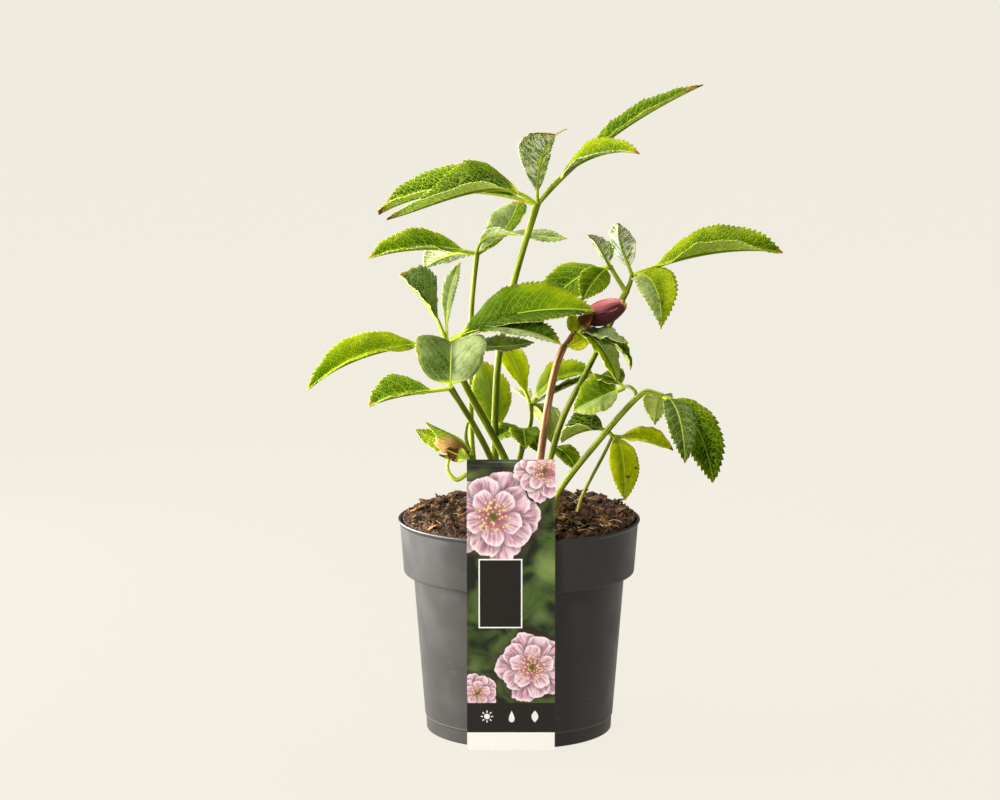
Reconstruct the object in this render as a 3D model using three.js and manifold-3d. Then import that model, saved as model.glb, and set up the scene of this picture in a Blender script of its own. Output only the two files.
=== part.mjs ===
// A potted hellebore: a 13 cm nursery pot, its soil and crown, eleven saw-toothed leaves,
// a purple bud on a brown stalk, a small side bud and a printed stick label.
// Millimetres, +Z up. The origin is on the pot's axis, on the face that it stands on.
import * as THREE from "three";
import { mergeVertices } from "three/addons/utils/BufferGeometryUtils.js";
import Module from "manifold-3d";

const wasm = await Module();
wasm.setup();

// ---- driving dimensions ----

const clearance = 0.35;        // air between two pieces that touch

const potHeight = 115;
const rimRadius = 65;          // over the lip
const bandTopRadius = 63.4;    // outside of the rim band, under the lip
const bandFootRadius = 61.8;
const bandFootHeight = 86;
const bodyTopRadius = 56.1;    // outside of the body, just under the band
const bodyFootRadius = 49.9;
const seamHeight = 8;          // small step above the foot ring
const potWall = 1.3;
const floorThickness = 1.6;
const standingRadius = 34;     // flat middle of the floor, which the pot stands on
const channelRise = 3;         // the ring round it is raised, with the drain holes
const drainHoles = 8;
const drainRadius = 3.5;
const footNotches = 4;
const potSegments = 36;

const soilRise = 3.4;          // the soil's middle over its edge
const soilEdgeHeight = 115.4;
const soilLump = 1.6;          // height of its lumps
const soilRings = 5;

const crownCentre = [1, -1, 97];
const crownSize = [24, 18, 9]; // half axes
const rootCount = 7;
const rootRadius = 1.7;

const labelWidth = 45.7;
const labelTop = 157.6;
const labelFoot = 4;
const labelThickness = 0.8;
const labelX = -4.5;
const labelFront = -66.2;      // y of its printed face
const foldRadius = 4.2;        // outside of the fold at its top
const tongueWidth = 20;
const tongueFoot = 92;         // the tongue reaches this deep behind the rim

const bladeThickness = 0.8;
const stalkThickness = 1.5;    // where a leaflet narrows to its own little stalk
const toothRows = 10;          // rows of a blade past its stalk, two to a tooth
const stemSides = 6;

// ---- colours ----

const potPlastic = new THREE.MeshStandardMaterial({ color: 0x4a4745, roughness: 0.5, metalness: 0 });
const pottingMix = new THREE.MeshStandardMaterial({ color: 0x3a2417, roughness: 1, metalness: 0 });
const rootBark = new THREE.MeshStandardMaterial({ color: 0x4b3524, roughness: 0.9, metalness: 0 });
const card = new THREE.MeshStandardMaterial({ color: 0xb98a9c, roughness: 0.35, metalness: 0 });
const leafGreen = new THREE.MeshStandardMaterial({ color: 0x4f8a1d, roughness: 0.45, metalness: 0 });
const youngGreen = new THREE.MeshStandardMaterial({ color: 0x86a62b, roughness: 0.5, metalness: 0 });
const stalkBrown = new THREE.MeshStandardMaterial({ color: 0x9c6440, roughness: 0.6, metalness: 0 });
const budPurple = new THREE.MeshStandardMaterial({ color: 0x6b2f40, roughness: 0.5, metalness: 0 });
const budPink = new THREE.MeshStandardMaterial({ color: 0xc08a5a, roughness: 0.6, metalness: 0 });

// ---- solids ----

function solid(geometry) {
  const bare = geometry.clone();
  bare.deleteAttribute("normal");
  bare.deleteAttribute("uv");
  const merged = mergeVertices(bare, 1e-4);
  return new wasm.Manifold(new wasm.Mesh({
    numProp: 3,
    vertProperties: new Float32Array(merged.attributes.position.array),
    triVerts: new Uint32Array(merged.index.array),
  }));
}

function join(solids) {
  return solids.reduce((whole, piece) => whole.add(piece));
}

function cut(body, tools) {
  return tools.reduce((whole, tool) => whole.subtract(tool), body);
}

const plant = new THREE.Group();

// Puts a finished solid in the plant. Joining can leave a loose scrap, which is dropped.
function place(name, body, material) {
  const [whole] = body.decompose().sort((a, b) => b.volume() - a.volume());
  const mesh = whole.getMesh();
  const geometry = new THREE.BufferGeometry();
  geometry.setAttribute("position", new THREE.BufferAttribute(mesh.vertProperties, 3));
  geometry.setIndex(new THREE.BufferAttribute(mesh.triVerts, 1));
  geometry.computeVertexNormals();
  const piece = new THREE.Mesh(geometry, material);
  piece.name = name;
  plant.add(piece);
}

// A solid of revolution about Z from a profile of [radius, height].
function turned(profile, segments) {
  const points = profile.map(([radius, height]) => new THREE.Vector2(radius, height));
  return new THREE.LatheGeometry(points, segments).rotateX(Math.PI / 2);
}

// Seeded random numbers, 0 to 1.
function drawing(seed) {
  let state = seed;
  return () => {
    state = (state * 16807) % 2147483647;
    return state / 2147483647;
  };
}

// A round stem along a smooth curve through the points, its radius changing from end to end.
function stem({ path, from, to, sides = stemSides, steps = Math.round(1.5 * path.length) }, grow = 0) {
  const curve = new THREE.CatmullRomCurve3(path.map((p) => new THREE.Vector3(...p)), false, "centripetal");
  const frames = curve.computeFrenetFrames(steps, false);
  const tube = new THREE.CylinderGeometry(to + grow, from + grow, 1, sides, steps);
  const places = tube.attributes.position;
  const spot = new THREE.Vector3();
  for (let i = 0; i < places.count; i += 1) {
    const along = places.getY(i) + 0.5;
    const step = Math.round(along * steps);
    curve.getPointAt(along, spot);
    spot.addScaledVector(frames.tangents[step], (along * 2 - 1) * grow * (step % steps === 0 ? 1 : 0));
    spot.addScaledVector(frames.normals[step], places.getX(i));
    spot.addScaledVector(frames.binormals[step], -places.getZ(i));
    places.setXYZ(i, spot.x, spot.y, spot.z);
  }
  return solid(tube);
}

// A thin closed sheet. surface(across, along) gives its middle point and the offset to its upper
// face; across runs 0 to 1 from left to right, along runs 0 to 1 from base to tip. Both faces are
// split into triangles alike.
function sheet(columns, rows, surface) {
  const plane = new THREE.PlaneGeometry(1, 1, columns, rows);
  const count = plane.attributes.position.count;
  const positions = new Float32Array(count * 6);
  const index = [];
  for (let i = 0; i < count; i += 1) {
    const across = (i % (columns + 1)) / columns;
    const along = 1 - Math.floor(i / (columns + 1)) / rows;
    const { middle, offset } = surface(across, along);
    middle.clone().add(offset).toArray(positions, i * 3);
    middle.clone().sub(offset).toArray(positions, (count + i) * 3);
  }
  const top = plane.index.array;
  for (let i = 0; i < top.length; i += 3) {
    index.push(top[i], top[i + 1], top[i + 2]);
    index.push(top[i] + count, top[i + 2] + count, top[i + 1] + count);
  }
  const edge = [];
  for (let c = 0; c < columns; c += 1) edge.push(rows * (columns + 1) + c);
  for (let r = rows; r > 0; r -= 1) edge.push(r * (columns + 1) + columns);
  for (let c = columns; c > 0; c -= 1) edge.push(c);
  for (let r = 0; r < rows; r += 1) edge.push(r * (columns + 1));
  edge.forEach((p, i) => {
    const q = edge[(i + 1) % edge.length];
    index.push(p + count, q + count, q, p + count, q, p);
  });
  const geometry = new THREE.BufferGeometry();
  geometry.setAttribute("position", new THREE.BufferAttribute(positions, 3));
  geometry.setIndex(index);
  return solid(geometry);
}

// ---- leaves ----

// The unit vector with this compass heading (0 is +X, 90 is +Y) and rise over the level.
function direction(heading, rise) {
  const h = THREE.MathUtils.degToRad(heading);
  const r = THREE.MathUtils.degToRad(rise);
  return new THREE.Vector3(Math.cos(r) * Math.cos(h), Math.cos(r) * Math.sin(h), Math.sin(r));
}

// Half the blade's width at a place b between its own base (0) and tip (1), with 1 as the widest.
// A low power makes both ends rounder.
function outline(b, fullest, power) {
  const first = (power * fullest) / (1 - fullest);
  const peak = fullest ** first * (1 - fullest) ** power;
  return (b ** first * (1 - b) ** power) / peak;
}

// One leaflet. Its spine leaves the point at with the given heading, and its tip lies length mm
// away along heading and rise. lift steepens the start and droop bends the end down, both in
// degrees; roll turns the blade about its spine, twist adds to that towards the tip, and fold
// raises both halves from the midrib.
function leaflet(at, spec, grow = 0) {
  const {
    heading, rise, length, width, lift = 20, droop = 20, sway = 0, roll = 0, twist = 0,
    fold = 15, stalk = 0.12, fullest = 0.48, power = 1, tooth = 0.17, bladeRows = toothRows,
  } = spec;
  const base = new THREE.Vector3(...at);
  const tip = base.clone().addScaledVector(direction(heading, rise), length);
  const third = length / 3;
  const spine = new THREE.CubicBezierCurve3(
    base,
    base.clone().addScaledVector(direction(heading + sway, rise + lift), third),
    tip.clone().addScaledVector(direction(heading - sway, rise - droop), -third),
    tip,
  );
  const level = direction(heading, rise + 90);
  const stalkRows = stalk > 0.1 ? 2 : 1;
  const rows = stalkRows + bladeRows;
  return sheet(2, rows, (across, along) => {
    const row = Math.round(along * rows);
    const b = Math.max(0, (row - stalkRows) / bladeRows);
    const t = Math.min(1, row < stalkRows ? (row / stalkRows) * stalk : stalk + b * (1 - stalk));
    const toothed = b > 0.2 && b < 0.98;
    const side = across * 2 - 1;
    const sharp = toothed && (row - stalkRows) % 2 === 1;
    const forward = sharp && side !== 0 ? (0.6 * (1 - b * b) * length) / bladeRows : 0;
    const tangent = spine.getTangent(t);
    const normal = level.clone().addScaledVector(tangent, -level.dot(tangent)).normalize();
    const right = tangent.clone().cross(normal);
    const turn = THREE.MathUtils.degToRad(roll + twist * t);
    const up = normal.clone().multiplyScalar(Math.cos(turn)).addScaledVector(right, Math.sin(turn));
    const out = right.clone().multiplyScalar(Math.cos(turn)).addScaledVector(normal, -Math.sin(turn));
    const notch = toothed && !sharp ? 1 - tooth : 1;
    const least = row < stalkRows ? 0.9 : 0.5;
    const half = Math.max(least, (width / 2) * outline(b, fullest, power) * notch) + grow;
    const bend = THREE.MathUtils.degToRad(fold * Math.min(1, 3 * b));
    const middle = spine.getPoint(t)
      .addScaledVector(out, side * half * Math.cos(bend))
      .addScaledVector(up, Math.abs(side) * half * Math.sin(bend))
      .addScaledVector(tangent, forward);
    const thickness = (b < 0.1 ? stalkThickness : bladeThickness) + 2 * grow;
    return { middle, offset: up.multiplyScalar(thickness / 2) };
  });
}

// Each leaf: its stems, then its leaflets. A leaflet grows from the end of stem number on,
// which is the last one where none is named.
const leaves = {
  leaf_top: {
    stems: [{
      path: [[-8, 4, 101], [-14, 7, 122], [-13.5, 7, 145], [-11, 4, 200], [-3, 2, 241], [9.4, 0, 284]],
      from: 2.2, to: 1.7,
    }],
    blades: [
      { heading: 170, rise: -5, length: 86, width: 27, lift: 20, droop: 34, roll: -23, fold: 34 },
      {
        heading: -162, rise: -4, length: 83, width: 38, lift: 46, droop: 10, roll: -16,
        fold: 36, fullest: 0.3, power: 1.5,
      },
      {
        heading: -68, rise: 47, length: 58, width: 30, lift: 20, droop: 30, sway: -28, roll: 8,
        twist: 10, fullest: 0.62,
      },
      {
        heading: 7, rise: 35, length: 108, width: 19, lift: 14, droop: 12, roll: 23, fold: 30,
        stalk: 0.28,
      },
      {
        heading: -25, rise: 26, length: 65, width: 22, lift: 34, droop: 40, roll: 24, fold: 30,
        stalk: 0.42, fullest: 0.42,
      },
    ],
  },
  leaf_upper_left: {
    stems: [{
      path: [[-13, 9, 101], [-21, 22, 122], [-25, 27, 145], [-26, 29, 184], [-25.5, 28, 224], [-22.6, 25, 255]],
      from: 1.6, to: 1.3,
    }],
    blades: [
      { heading: -170, rise: -2, length: 59, width: 25, lift: 16, droop: 16, roll: -23, fold: 34 },
      { heading: 139, rise: -17, length: 40, width: 22, roll: 30 },
      {
        heading: -28, rise: 11, length: 55, width: 15, lift: 70, droop: 6, roll: -80,
        twist: 140, fold: 10,
      },
      {
        heading: 49, rise: 36, length: 42, width: 30, lift: -14, droop: -16, sway: -20,
        fold: 20, stalk: 0.06, fullest: 0.5,
      },
    ],
  },
  leaf_left: {
    stems: [{
      path: [[4, -6, 101], [2, -10, 122], [-7.5, -14, 149], [-29, -23, 191.5], [-38.2, -20.5, 213.4]],
      from: 2.3, to: 1.7,
    }],
    blades: [
      {
        heading: -169, rise: -18, length: 78, width: 27, lift: 18, droop: 26, roll: -23,
        fold: 34, stalk: 0.2, fullest: 0.44,
      },
      {
        heading: 172, rise: 54, length: 43, width: 29, lift: 22, droop: 14, roll: -24,
        fold: 36, stalk: 0.2, fullest: 0.7,
      },
      {
        heading: 72, rise: 60, length: 45, width: 9, lift: 5, droop: 10, sway: 26, fold: 20,
        fullest: 0.6, bladeRows: 8,
      },
      {
        heading: -19, rise: 15, length: 82, width: 35, lift: 16, droop: 18, roll: 38, fold: 24,
        fullest: 0.46,
      },
      { heading: -32, rise: 3, length: 70, width: 27, lift: 26, droop: 26, roll: 28, fold: 28 },
      {
        heading: 16, rise: -3, length: 48, width: 15, lift: -12, droop: -14, roll: 30,
        fold: 20, stalk: 0.25,
      },
    ],
  },
  leaf_front_left: {
    stems: [{
      path: [[-4, -11, 101], [-6, -22, 122], [-15, -38, 153.5], [-24, -51, 174], [-35.8, -70, 197]],
      from: 1.9, to: 1.5,
    }],
    blades: [
      {
        heading: 180, rise: -14, length: 43, width: 26, lift: 4, droop: 16, roll: -23,
        fold: 32, stalk: 0.2, fullest: 0.56,
      },
      {
        heading: 89, rise: 27, length: 38.5, width: 39, lift: 24, droop: 44, fold: 18,
        stalk: 0.05, fullest: 0.5, power: 0.45, tooth: 0.05,
      },
    ],
  },
  leaf_right: {
    stems: [
      {
        path: [[7, 1, 101], [9, 2, 122], [16.5, 2, 146], [24, 2, 170], [35, 3, 191.5], [57, 5, 236.5]],
        from: 1.9, to: 1.5,
      },
      { path: [[57, 5, 236], [52.5, 5, 243], [48.3, 5, 250]], from: 1.3, to: 1.2 },
      { path: [[57, 5, 236], [59, 5, 241], [60, 5, 246]], from: 1.4, to: 1.2 },
    ],
    blades: [
      { on: 1, heading: -117, rise: 35, length: 34, width: 11, lift: 5, droop: 20, fold: 25, bladeRows: 8 },
      { on: 1, heading: 101, rise: 18, length: 30, width: 11, fold: 25, bladeRows: 8 },
      { on: 1, heading: -157, rise: -30, length: 46, width: 28, lift: 30, droop: 20, roll: -26, fold: 10 },
      { on: 1, heading: -121, rise: -27, length: 33, width: 17, lift: 16, droop: 16, roll: -30 },
      {
        on: 2, heading: -115, rise: 58, length: 34, width: 12, lift: 10, droop: 10, sway: -35,
        fold: 22, bladeRows: 8,
      },
      {
        on: 2, heading: 0, rise: 8, length: 81, width: 33, lift: 14, droop: 18, roll: 10,
        fold: 38, stalk: 0.15,
      },
      {
        on: 2, heading: -66, rise: -36, length: 43, width: 25, lift: 50, droop: 44, sway: 40,
        roll: 10, fold: 22, fullest: 0.36, power: 1.25,
      },
    ],
  },
  leaf_mid_back: {
    stems: [{
      path: [[0, 11, 101], [-1, 20, 122], [1, 26, 143], [6.5, 29, 162], [6.6, 30, 172]],
      from: 1.5, to: 1.2,
    }],
    blades: [
      {
        heading: 141, rise: 58, length: 37, width: 19, lift: 4, droop: 10, roll: -10, fold: 8,
        fullest: 0.62,
      },
      {
        heading: -16, rise: 26, length: 39, width: 25, lift: 38, droop: 44, roll: 26, fold: 22,
        fullest: 0.36,
      },
      { heading: -8, rise: 25, length: 39, width: 12, lift: 4, droop: 4, roll: 10, bladeRows: 8 },
      { heading: 64, rise: -39, length: 34, width: 18, lift: 40, bladeRows: 8 },
      { heading: 105, rise: 2, length: 34, width: 10, bladeRows: 8 },
    ],
  },
  leaf_behind_petiole: {
    stems: [{ path: [[-7, 12, 101], [-11, 18, 122], [-12, 19, 143], [-12, 18, 157]], from: 1.4, to: 1.2 }],
    blades: [
      {
        heading: 144, rise: 75, length: 41, width: 25, lift: 0, droop: 14, roll: -26, fold: 8,
        stalk: 0.06,
      },
    ],
  },
  leaf_low_mid: {
    stems: [{ path: [[1, 5, 101], [0, 8, 120], [0, 8, 145], [1, 8, 151], [1.6, 8, 162]], from: 1.2, to: 1 }],
    blades: [
      { heading: -158, rise: -14, length: 14, width: 12, roll: -20, stalk: 0.05, bladeRows: 6 },
      { heading: -47, rise: -39, length: 19, width: 13, roll: 20, stalk: 0.05, bladeRows: 6 },
      { heading: -85, rise: -20, length: 22, width: 15, lift: 30, droop: 40, stalk: 0.05, bladeRows: 6 },
    ],
  },
  leaf_low_right: {
    stems: [{ path: [[9, 9, 101], [13, 16, 122], [16, 20, 137], [18.5, 20, 150]], from: 1.2, to: 1 }],
    blades: [
      {
        heading: -49, rise: -30, length: 22, width: 13, lift: 30, droop: 30, roll: 20,
        stalk: 0.05, bladeRows: 6,
      },
      { heading: 102, rise: 61, length: 24, width: 11, lift: 0, droop: 10, stalk: 0.05, bladeRows: 6 },
    ],
  },
  leaf_arched: {
    stems: [
      {
        path: [
          [15, -5, 101], [18, -7, 116], [20, -8, 127.5], [42.5, -19, 160.5], [63, -28, 185.5],
          [67, -29.5, 188], [75, -32, 186],
        ],
        from: 1.9, to: 1.3, steps: 14,
      },
      { path: [[61, -27, 183], [61, -26, 187], [58, -23, 189.5], [55, -20, 189]], from: 1, to: 0.9 },
    ],
    blades: [
      {
        on: 1, heading: 171, rise: -27, length: 30, width: 31, lift: 0, droop: 6, roll: -30,
        fold: 12, fullest: 0.4,
      },
      { on: 1, heading: 119, rise: 5, length: 25, width: 16, roll: -20 },
      { on: 0, heading: 93, rise: -29, length: 42, width: 13, lift: 30, droop: 30 },
      { on: 0, heading: -35, rise: -54, length: 53, width: 24, lift: 54, droop: 30, roll: 30, fold: 10 },
      { on: 0, heading: -75, rise: -37, length: 48, width: 18, lift: 44, droop: 44, sway: 12, fold: 14 },
    ],
  },
  leaf_spotted: {
    stems: [{
      path: [[18, 1, 101], [30, -3, 116], [34, -5, 128], [45.5, -8, 151.5], [50, -8, 161]],
      from: 1, to: 0.9,
    }],
    blades: [
      { heading: -7, rise: -13, length: 33, width: 17, lift: 10, droop: 12, roll: 24, fold: 30 },
      {
        heading: -72, rise: -59, length: 37, width: 17, lift: 40, droop: 20, sway: 14, fold: 8,
        stalk: 0.06,
      },
      {
        heading: 160, rise: -11, length: 29.5, width: 24, lift: 66, droop: 34, roll: -28,
        fold: 20, stalk: 0.25,
      },
    ],
  },
};

function leafSolid({ stems, blades }) {
  const pieces = stems.map((spec) => stem(spec));
  for (const blade of blades) {
    const carrier = stems[blade.on ?? stems.length - 1];
    pieces.push(leaflet(carrier.path[carrier.path.length - 1], blade));
  }
  return join(pieces);
}

const leafSolids = Object.fromEntries(
  Object.entries(leaves).map(([name, leaf]) => [name, leafSolid(leaf)]),
);

// ---- flower stalk, bud and bracts ----

const stalkPath = {
  path: [
    [9, -13, 101], [8.5, -23, 124], [11, -28, 152], [17.5, -31, 194.5], [22, -32, 209.5],
    [27.5, -32, 218.5], [34, -32, 225.5],
  ],
  from: 2.3, to: 1.7, steps: 12,
};

// A closed bud from base to tip. Each sepal overlaps the next one: the surface rises from its
// covered edge to its free edge and drops there by the lap. The free edges part near the tip.
function bud({ base, tip, radius, sepals, lap }) {
  const start = new THREE.Vector3(...base);
  const axis = new THREE.Vector3(...tip).sub(start);
  const length = axis.length();
  const turn = new THREE.Quaternion().setFromUnitVectors(
    new THREE.Vector3(0, 0, 1),
    axis.clone().normalize(),
  );
  const columns = sepals * 4;
  const rows = 9;
  const body = new THREE.SphereGeometry(1, columns, rows).rotateX(Math.PI / 2);
  const places = body.attributes.position;
  for (let i = 0; i < places.count; i += 1) {
    const spot = new THREE.Vector3().fromBufferAttribute(places, i);
    const along = Math.acos(THREE.MathUtils.clamp(-spot.z, -1, 1)) / Math.PI;
    const ring = Math.hypot(spot.x, spot.y);
    const angle = Math.atan2(spot.y, spot.x) / (2 * Math.PI) + 1 + 0.15 * along;
    const share = Math.round((angle * columns) % columns) % 4;
    const bulge = Math.sin(Math.PI * (0.06 + 0.88 * along ** 0.85)) ** 0.8;
    const out = ring < 1e-4 ? 0 : (radius * bulge - lap * (1 - share / 3) * (0.4 + 0.6 * along)) / ring;
    spot.set(spot.x * out, spot.y * out, length * along);
    spot.applyQuaternion(turn).add(start);
    places.setXYZ(i, spot.x, spot.y, spot.z);
  }
  return solid(body);
}

const flowerBud = bud({
  base: [34, -32, 225.2], tip: [56, -34, 236.2], radius: 6.7, sepals: 5, lap: 0.7,
});

const bractShape = { stalk: 0.04, tooth: 0.06, bladeRows: 5 };
const collar = { path: [[24.6, -32, 214], [28, -32, 219], [32.5, -32, 224.2]], from: 2.9, to: 3.1 };
const bractBlades = [
  { at: [28, -32, 219], heading: 150, rise: 75, length: 16, width: 9, lift: -10, droop: -30, roll: -30 },
  { at: [26, -33, 216], heading: -15, rise: 16, length: 13, width: 12, lift: -30, droop: -30, roll: 60 },
  { at: [30, -33, 221], heading: -14, rise: -20, length: 26, width: 12, lift: 10, droop: 0, roll: 20 },
  { at: [30, -33, 220.5], heading: -40, rise: -50, length: 33, width: 14, lift: 46, droop: 30, roll: 20 },
  { at: [31, -33, 221], heading: 8, rise: -34, length: 35, width: 13, lift: 30, droop: 46, roll: 24, fold: 22 },
];

function bractSolid(grow) {
  const blades = bractBlades.map((spec) => leaflet(spec.at, { ...bractShape, ...spec }, grow));
  return join([stem(collar, grow), ...blades]);
}

// ---- side bud: a young shoot low on the left ----

const sideBud = bud({
  base: [-27.4, -45.5, 158], tip: [-43, -49, 165], radius: 4.6, sepals: 3, lap: 0.6,
});
const sideStems = [
  { path: [[-11, -8, 101], [-17, -22, 120], [-21, -38, 143], [-25.5, -44.5, 157]], from: 1.8, to: 1.9 },
  {
    path: [[-27, -46, 159], [-35, -46, 158], [-37.5, -48, 150], [-33, -48.5, 144.5], [-27.5, -46, 147]],
    from: 1, to: 0.9,
  },
  { path: [[-25.5, -44, 157], [-28, -42, 166], [-27, -42, 173.5], [-25, -43, 175.5]], from: 1, to: 0.7 },
];
const sideBlades = [
  { heading: -174, rise: 36, length: 33, width: 12, lift: 34, droop: 6, roll: 180, fold: 22 },
  { heading: 160, rise: 30, length: 27, width: 11, lift: 20, droop: 20, roll: 140, fold: 22 },
  { heading: -165, rise: 2, length: 20, width: 9, lift: -34, droop: -30, roll: 10, fold: 22 },
];

function sideBractSolid(grow) {
  const foot = [-25.5, -44.5, 156.8];
  const blades = sideBlades.map((spec) => leaflet(foot, { ...bractShape, ...spec }, grow));
  return join([...sideStems.map((spec) => stem(spec, grow)), ...blades]);
}

// ---- crown and roots ----

function crownBody(grow) {
  const body = new THREE.SphereGeometry(1, 14, 7);
  const places = body.attributes.position;
  for (let i = 0; i < places.count; i += 1) {
    const x = places.getX(i);
    const y = places.getY(i);
    const z = places.getZ(i);
    const knob = 1 + 0.06 * Math.sin(9 * x + 2) * Math.cos(7 * y) + 0.05 * Math.sin(8 * z + 3 * x);
    places.setXYZ(
      i,
      crownCentre[0] + x * knob * (crownSize[0] + grow),
      crownCentre[1] + y * knob * (crownSize[1] + grow),
      crownCentre[2] + z * knob * (crownSize[2] + grow),
    );
  }
  return solid(body);
}

function rootStem(number, grow) {
  const draw = drawing(71 + number * 13);
  const angle = ((number + 0.6 * draw()) / rootCount) * 2 * Math.PI;
  const reach = 24 + 14 * draw();
  const depth = 24 + 34 * draw();
  const at = (share, height) => [
    crownCentre[0] + Math.cos(angle + 0.3 * share) * reach * share,
    crownCentre[1] + Math.sin(angle + 0.3 * share) * reach * share,
    height,
  ];
  const path = [at(0.25, 95), at(0.6, 84), at(0.85, 60), at(1, depth)];
  return stem({ path, from: rootRadius, to: 0.8, sides: 3, steps: 4 }, grow);
}

function crownSolid(grow) {
  const pieces = [crownBody(grow)];
  for (let i = 0; i < rootCount; i += 1) pieces.push(rootStem(i, grow));
  return join(pieces);
}

// Every stem that goes into the soil, grown by the clearance: the holes that they stand in.
const buriedStems = [
  ...Object.values(leaves).map((leaf) => leaf.stems[0]),
  stalkPath,
  sideStems[0],
];
const stemHoles = buriedStems.map((spec) => stem(spec, clearance));

// ---- label ----

function labelSolid() {
  const corner = 1.2;
  const left = labelX - labelWidth / 2;
  const right = labelX + labelWidth / 2;
  const foldCentre = labelFront + foldRadius;
  const foldHeight = labelTop - foldRadius;
  const panel = new THREE.Shape();
  panel.moveTo(left, foldHeight);
  panel.lineTo(left, labelFoot + corner);
  panel.absarc(left + corner, labelFoot + corner, corner, Math.PI, 1.5 * Math.PI);
  panel.lineTo(right - corner, labelFoot);
  panel.absarc(right - corner, labelFoot + corner, corner, 1.5 * Math.PI, 2 * Math.PI);
  panel.lineTo(right, foldHeight);
  const front = new THREE.ExtrudeGeometry(panel, {
    depth: labelThickness, bevelEnabled: false, curveSegments: 3,
  });
  front.rotateX(Math.PI / 2).translate(0, labelFront + labelThickness, 0);

  // The fold and the back, drawn in the y-z plane and pulled along x.
  const hook = (bottom) => {
    const shape = new THREE.Shape();
    shape.moveTo(labelFront, foldHeight - 1);
    shape.lineTo(labelFront + labelThickness, foldHeight - 1);
    shape.absarc(foldCentre, foldHeight, foldRadius - labelThickness, Math.PI, 0, true);
    shape.lineTo(foldCentre + foldRadius - labelThickness, bottom);
    shape.lineTo(foldCentre + foldRadius, bottom);
    shape.absarc(foldCentre, foldHeight, foldRadius, 0, Math.PI, false);
    return shape;
  };
  const pull = (shape, width) => {
    const piece = new THREE.ExtrudeGeometry(shape, { depth: width, bevelEnabled: false, curveSegments: 6 });
    const axes = new THREE.Matrix4().makeBasis(
      new THREE.Vector3(0, 1, 0),
      new THREE.Vector3(0, 0, 1),
      new THREE.Vector3(1, 0, 0),
    );
    return solid(piece.applyMatrix4(axes).translate(labelX - width / 2, 0, 0));
  };
  return join([solid(front), pull(hook(foldHeight - 8), labelWidth), pull(hook(tongueFoot), tongueWidth)]);
}

function labelSlot() {
  const depth = labelTop - tongueFoot;
  const slot = new THREE.BoxGeometry(
    tongueWidth + 2 * clearance,
    labelThickness + 2 * clearance,
    depth + 2 * clearance,
  );
  const back = labelFront + 2 * foldRadius - labelThickness / 2;
  slot.translate(labelX, back, tongueFoot + depth / 2);
  return solid(slot);
}

// ---- soil ----

const innerBandTop = bandTopRadius - potWall;
const innerBandFoot = bandFootRadius - potWall;
const innerBodyTop = bodyTopRadius - potWall;
const innerBodyFoot = bodyFootRadius - potWall;

function soilBody() {
  const gap = clearance;
  const edge = innerBandTop - gap - 0.3;
  const profile = [
    [0, floorThickness + gap],
    [standingRadius - 3, floorThickness + gap],
    [standingRadius - 1, floorThickness + channelRise + gap],
    [innerBodyFoot - gap - 0.6, floorThickness + channelRise + gap],
    [innerBodyTop - gap, bandFootHeight],
    [innerBodyTop - gap, bandFootHeight + potWall + gap + 0.3],
    [innerBandFoot - gap, bandFootHeight + potWall + gap + 1],
    [edge, soilEdgeHeight],
  ];
  for (let ring = soilRings - 1; ring >= 0; ring -= 1) {
    profile.push([(edge * ring) / soilRings, soilEdgeHeight]);
  }
  const body = turned(profile, potSegments);
  const places = body.attributes.position;
  for (let i = 0; i < places.count; i += 1) {
    const x = places.getX(i);
    const y = places.getY(i);
    const share = Math.hypot(x, y) / edge;
    if (places.getZ(i) > soilEdgeHeight - 0.01 && share < 0.99) {
      const lumps = Math.sin(x * 0.31 + 1) * Math.cos(y * 0.27) + 0.7 * Math.sin(x * 0.73 - y * 0.58 + 2);
      places.setZ(i, soilEdgeHeight + soilRise * (1 - share ** 2) + soilLump * lumps * (1 - share ** 4) * 0.6);
    }
  }
  return solid(body);
}

// ---- pot ----

function potBody() {
  const lip = 1.5;
  const profile = [
    [0, 0],
    [standingRadius, 0],
    [standingRadius + 2, channelRise],
    [bodyFootRadius - 4.5, channelRise],
    [bodyFootRadius - 3.2, 0],
    [bodyFootRadius - 0.8, 0],
    [bodyFootRadius - 0.6, seamHeight - 0.6],
    [bodyFootRadius, seamHeight],
    [bodyTopRadius, bandFootHeight],
    [bandFootRadius, bandFootHeight + 0.2],
    [bandTopRadius, potHeight - lip - 0.4],
    [rimRadius, potHeight - lip],
    [rimRadius, potHeight - 0.5],
    [rimRadius - 0.5, potHeight],
    [innerBandTop, potHeight],
    [innerBandFoot, bandFootHeight + potWall + 0.2],
    [innerBodyTop, bandFootHeight + potWall],
    [innerBodyFoot, seamHeight + 1],
    [innerBodyFoot - 0.6, floorThickness + channelRise],
    [standingRadius + 0.5, floorThickness + channelRise],
    [standingRadius - 1.5, floorThickness],
    [0, floorThickness],
  ];
  return solid(turned(profile, potSegments));
}

function drains() {
  const tools = [];
  const middle = (standingRadius + bodyFootRadius - 2.5) / 2;
  for (let i = 0; i < drainHoles; i += 1) {
    const angle = ((i + 0.5) / drainHoles) * 2 * Math.PI;
    const hole = new THREE.CylinderGeometry(drainRadius, drainRadius, 12, 10).rotateX(Math.PI / 2);
    hole.translate(Math.cos(angle) * middle, Math.sin(angle) * middle, 4);
    tools.push(solid(hole));
  }
  for (let i = 0; i < footNotches; i += 1) {
    const angle = (i / footNotches) * 2 * Math.PI;
    const notch = new THREE.BoxGeometry(8, 7, 2.4).rotateZ(angle);
    notch.translate(Math.cos(angle) * (bodyFootRadius - 2), Math.sin(angle) * (bodyFootRadius - 2), 0);
    tools.push(solid(notch));
  }
  return tools;
}

// ---- assembly ----

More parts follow.
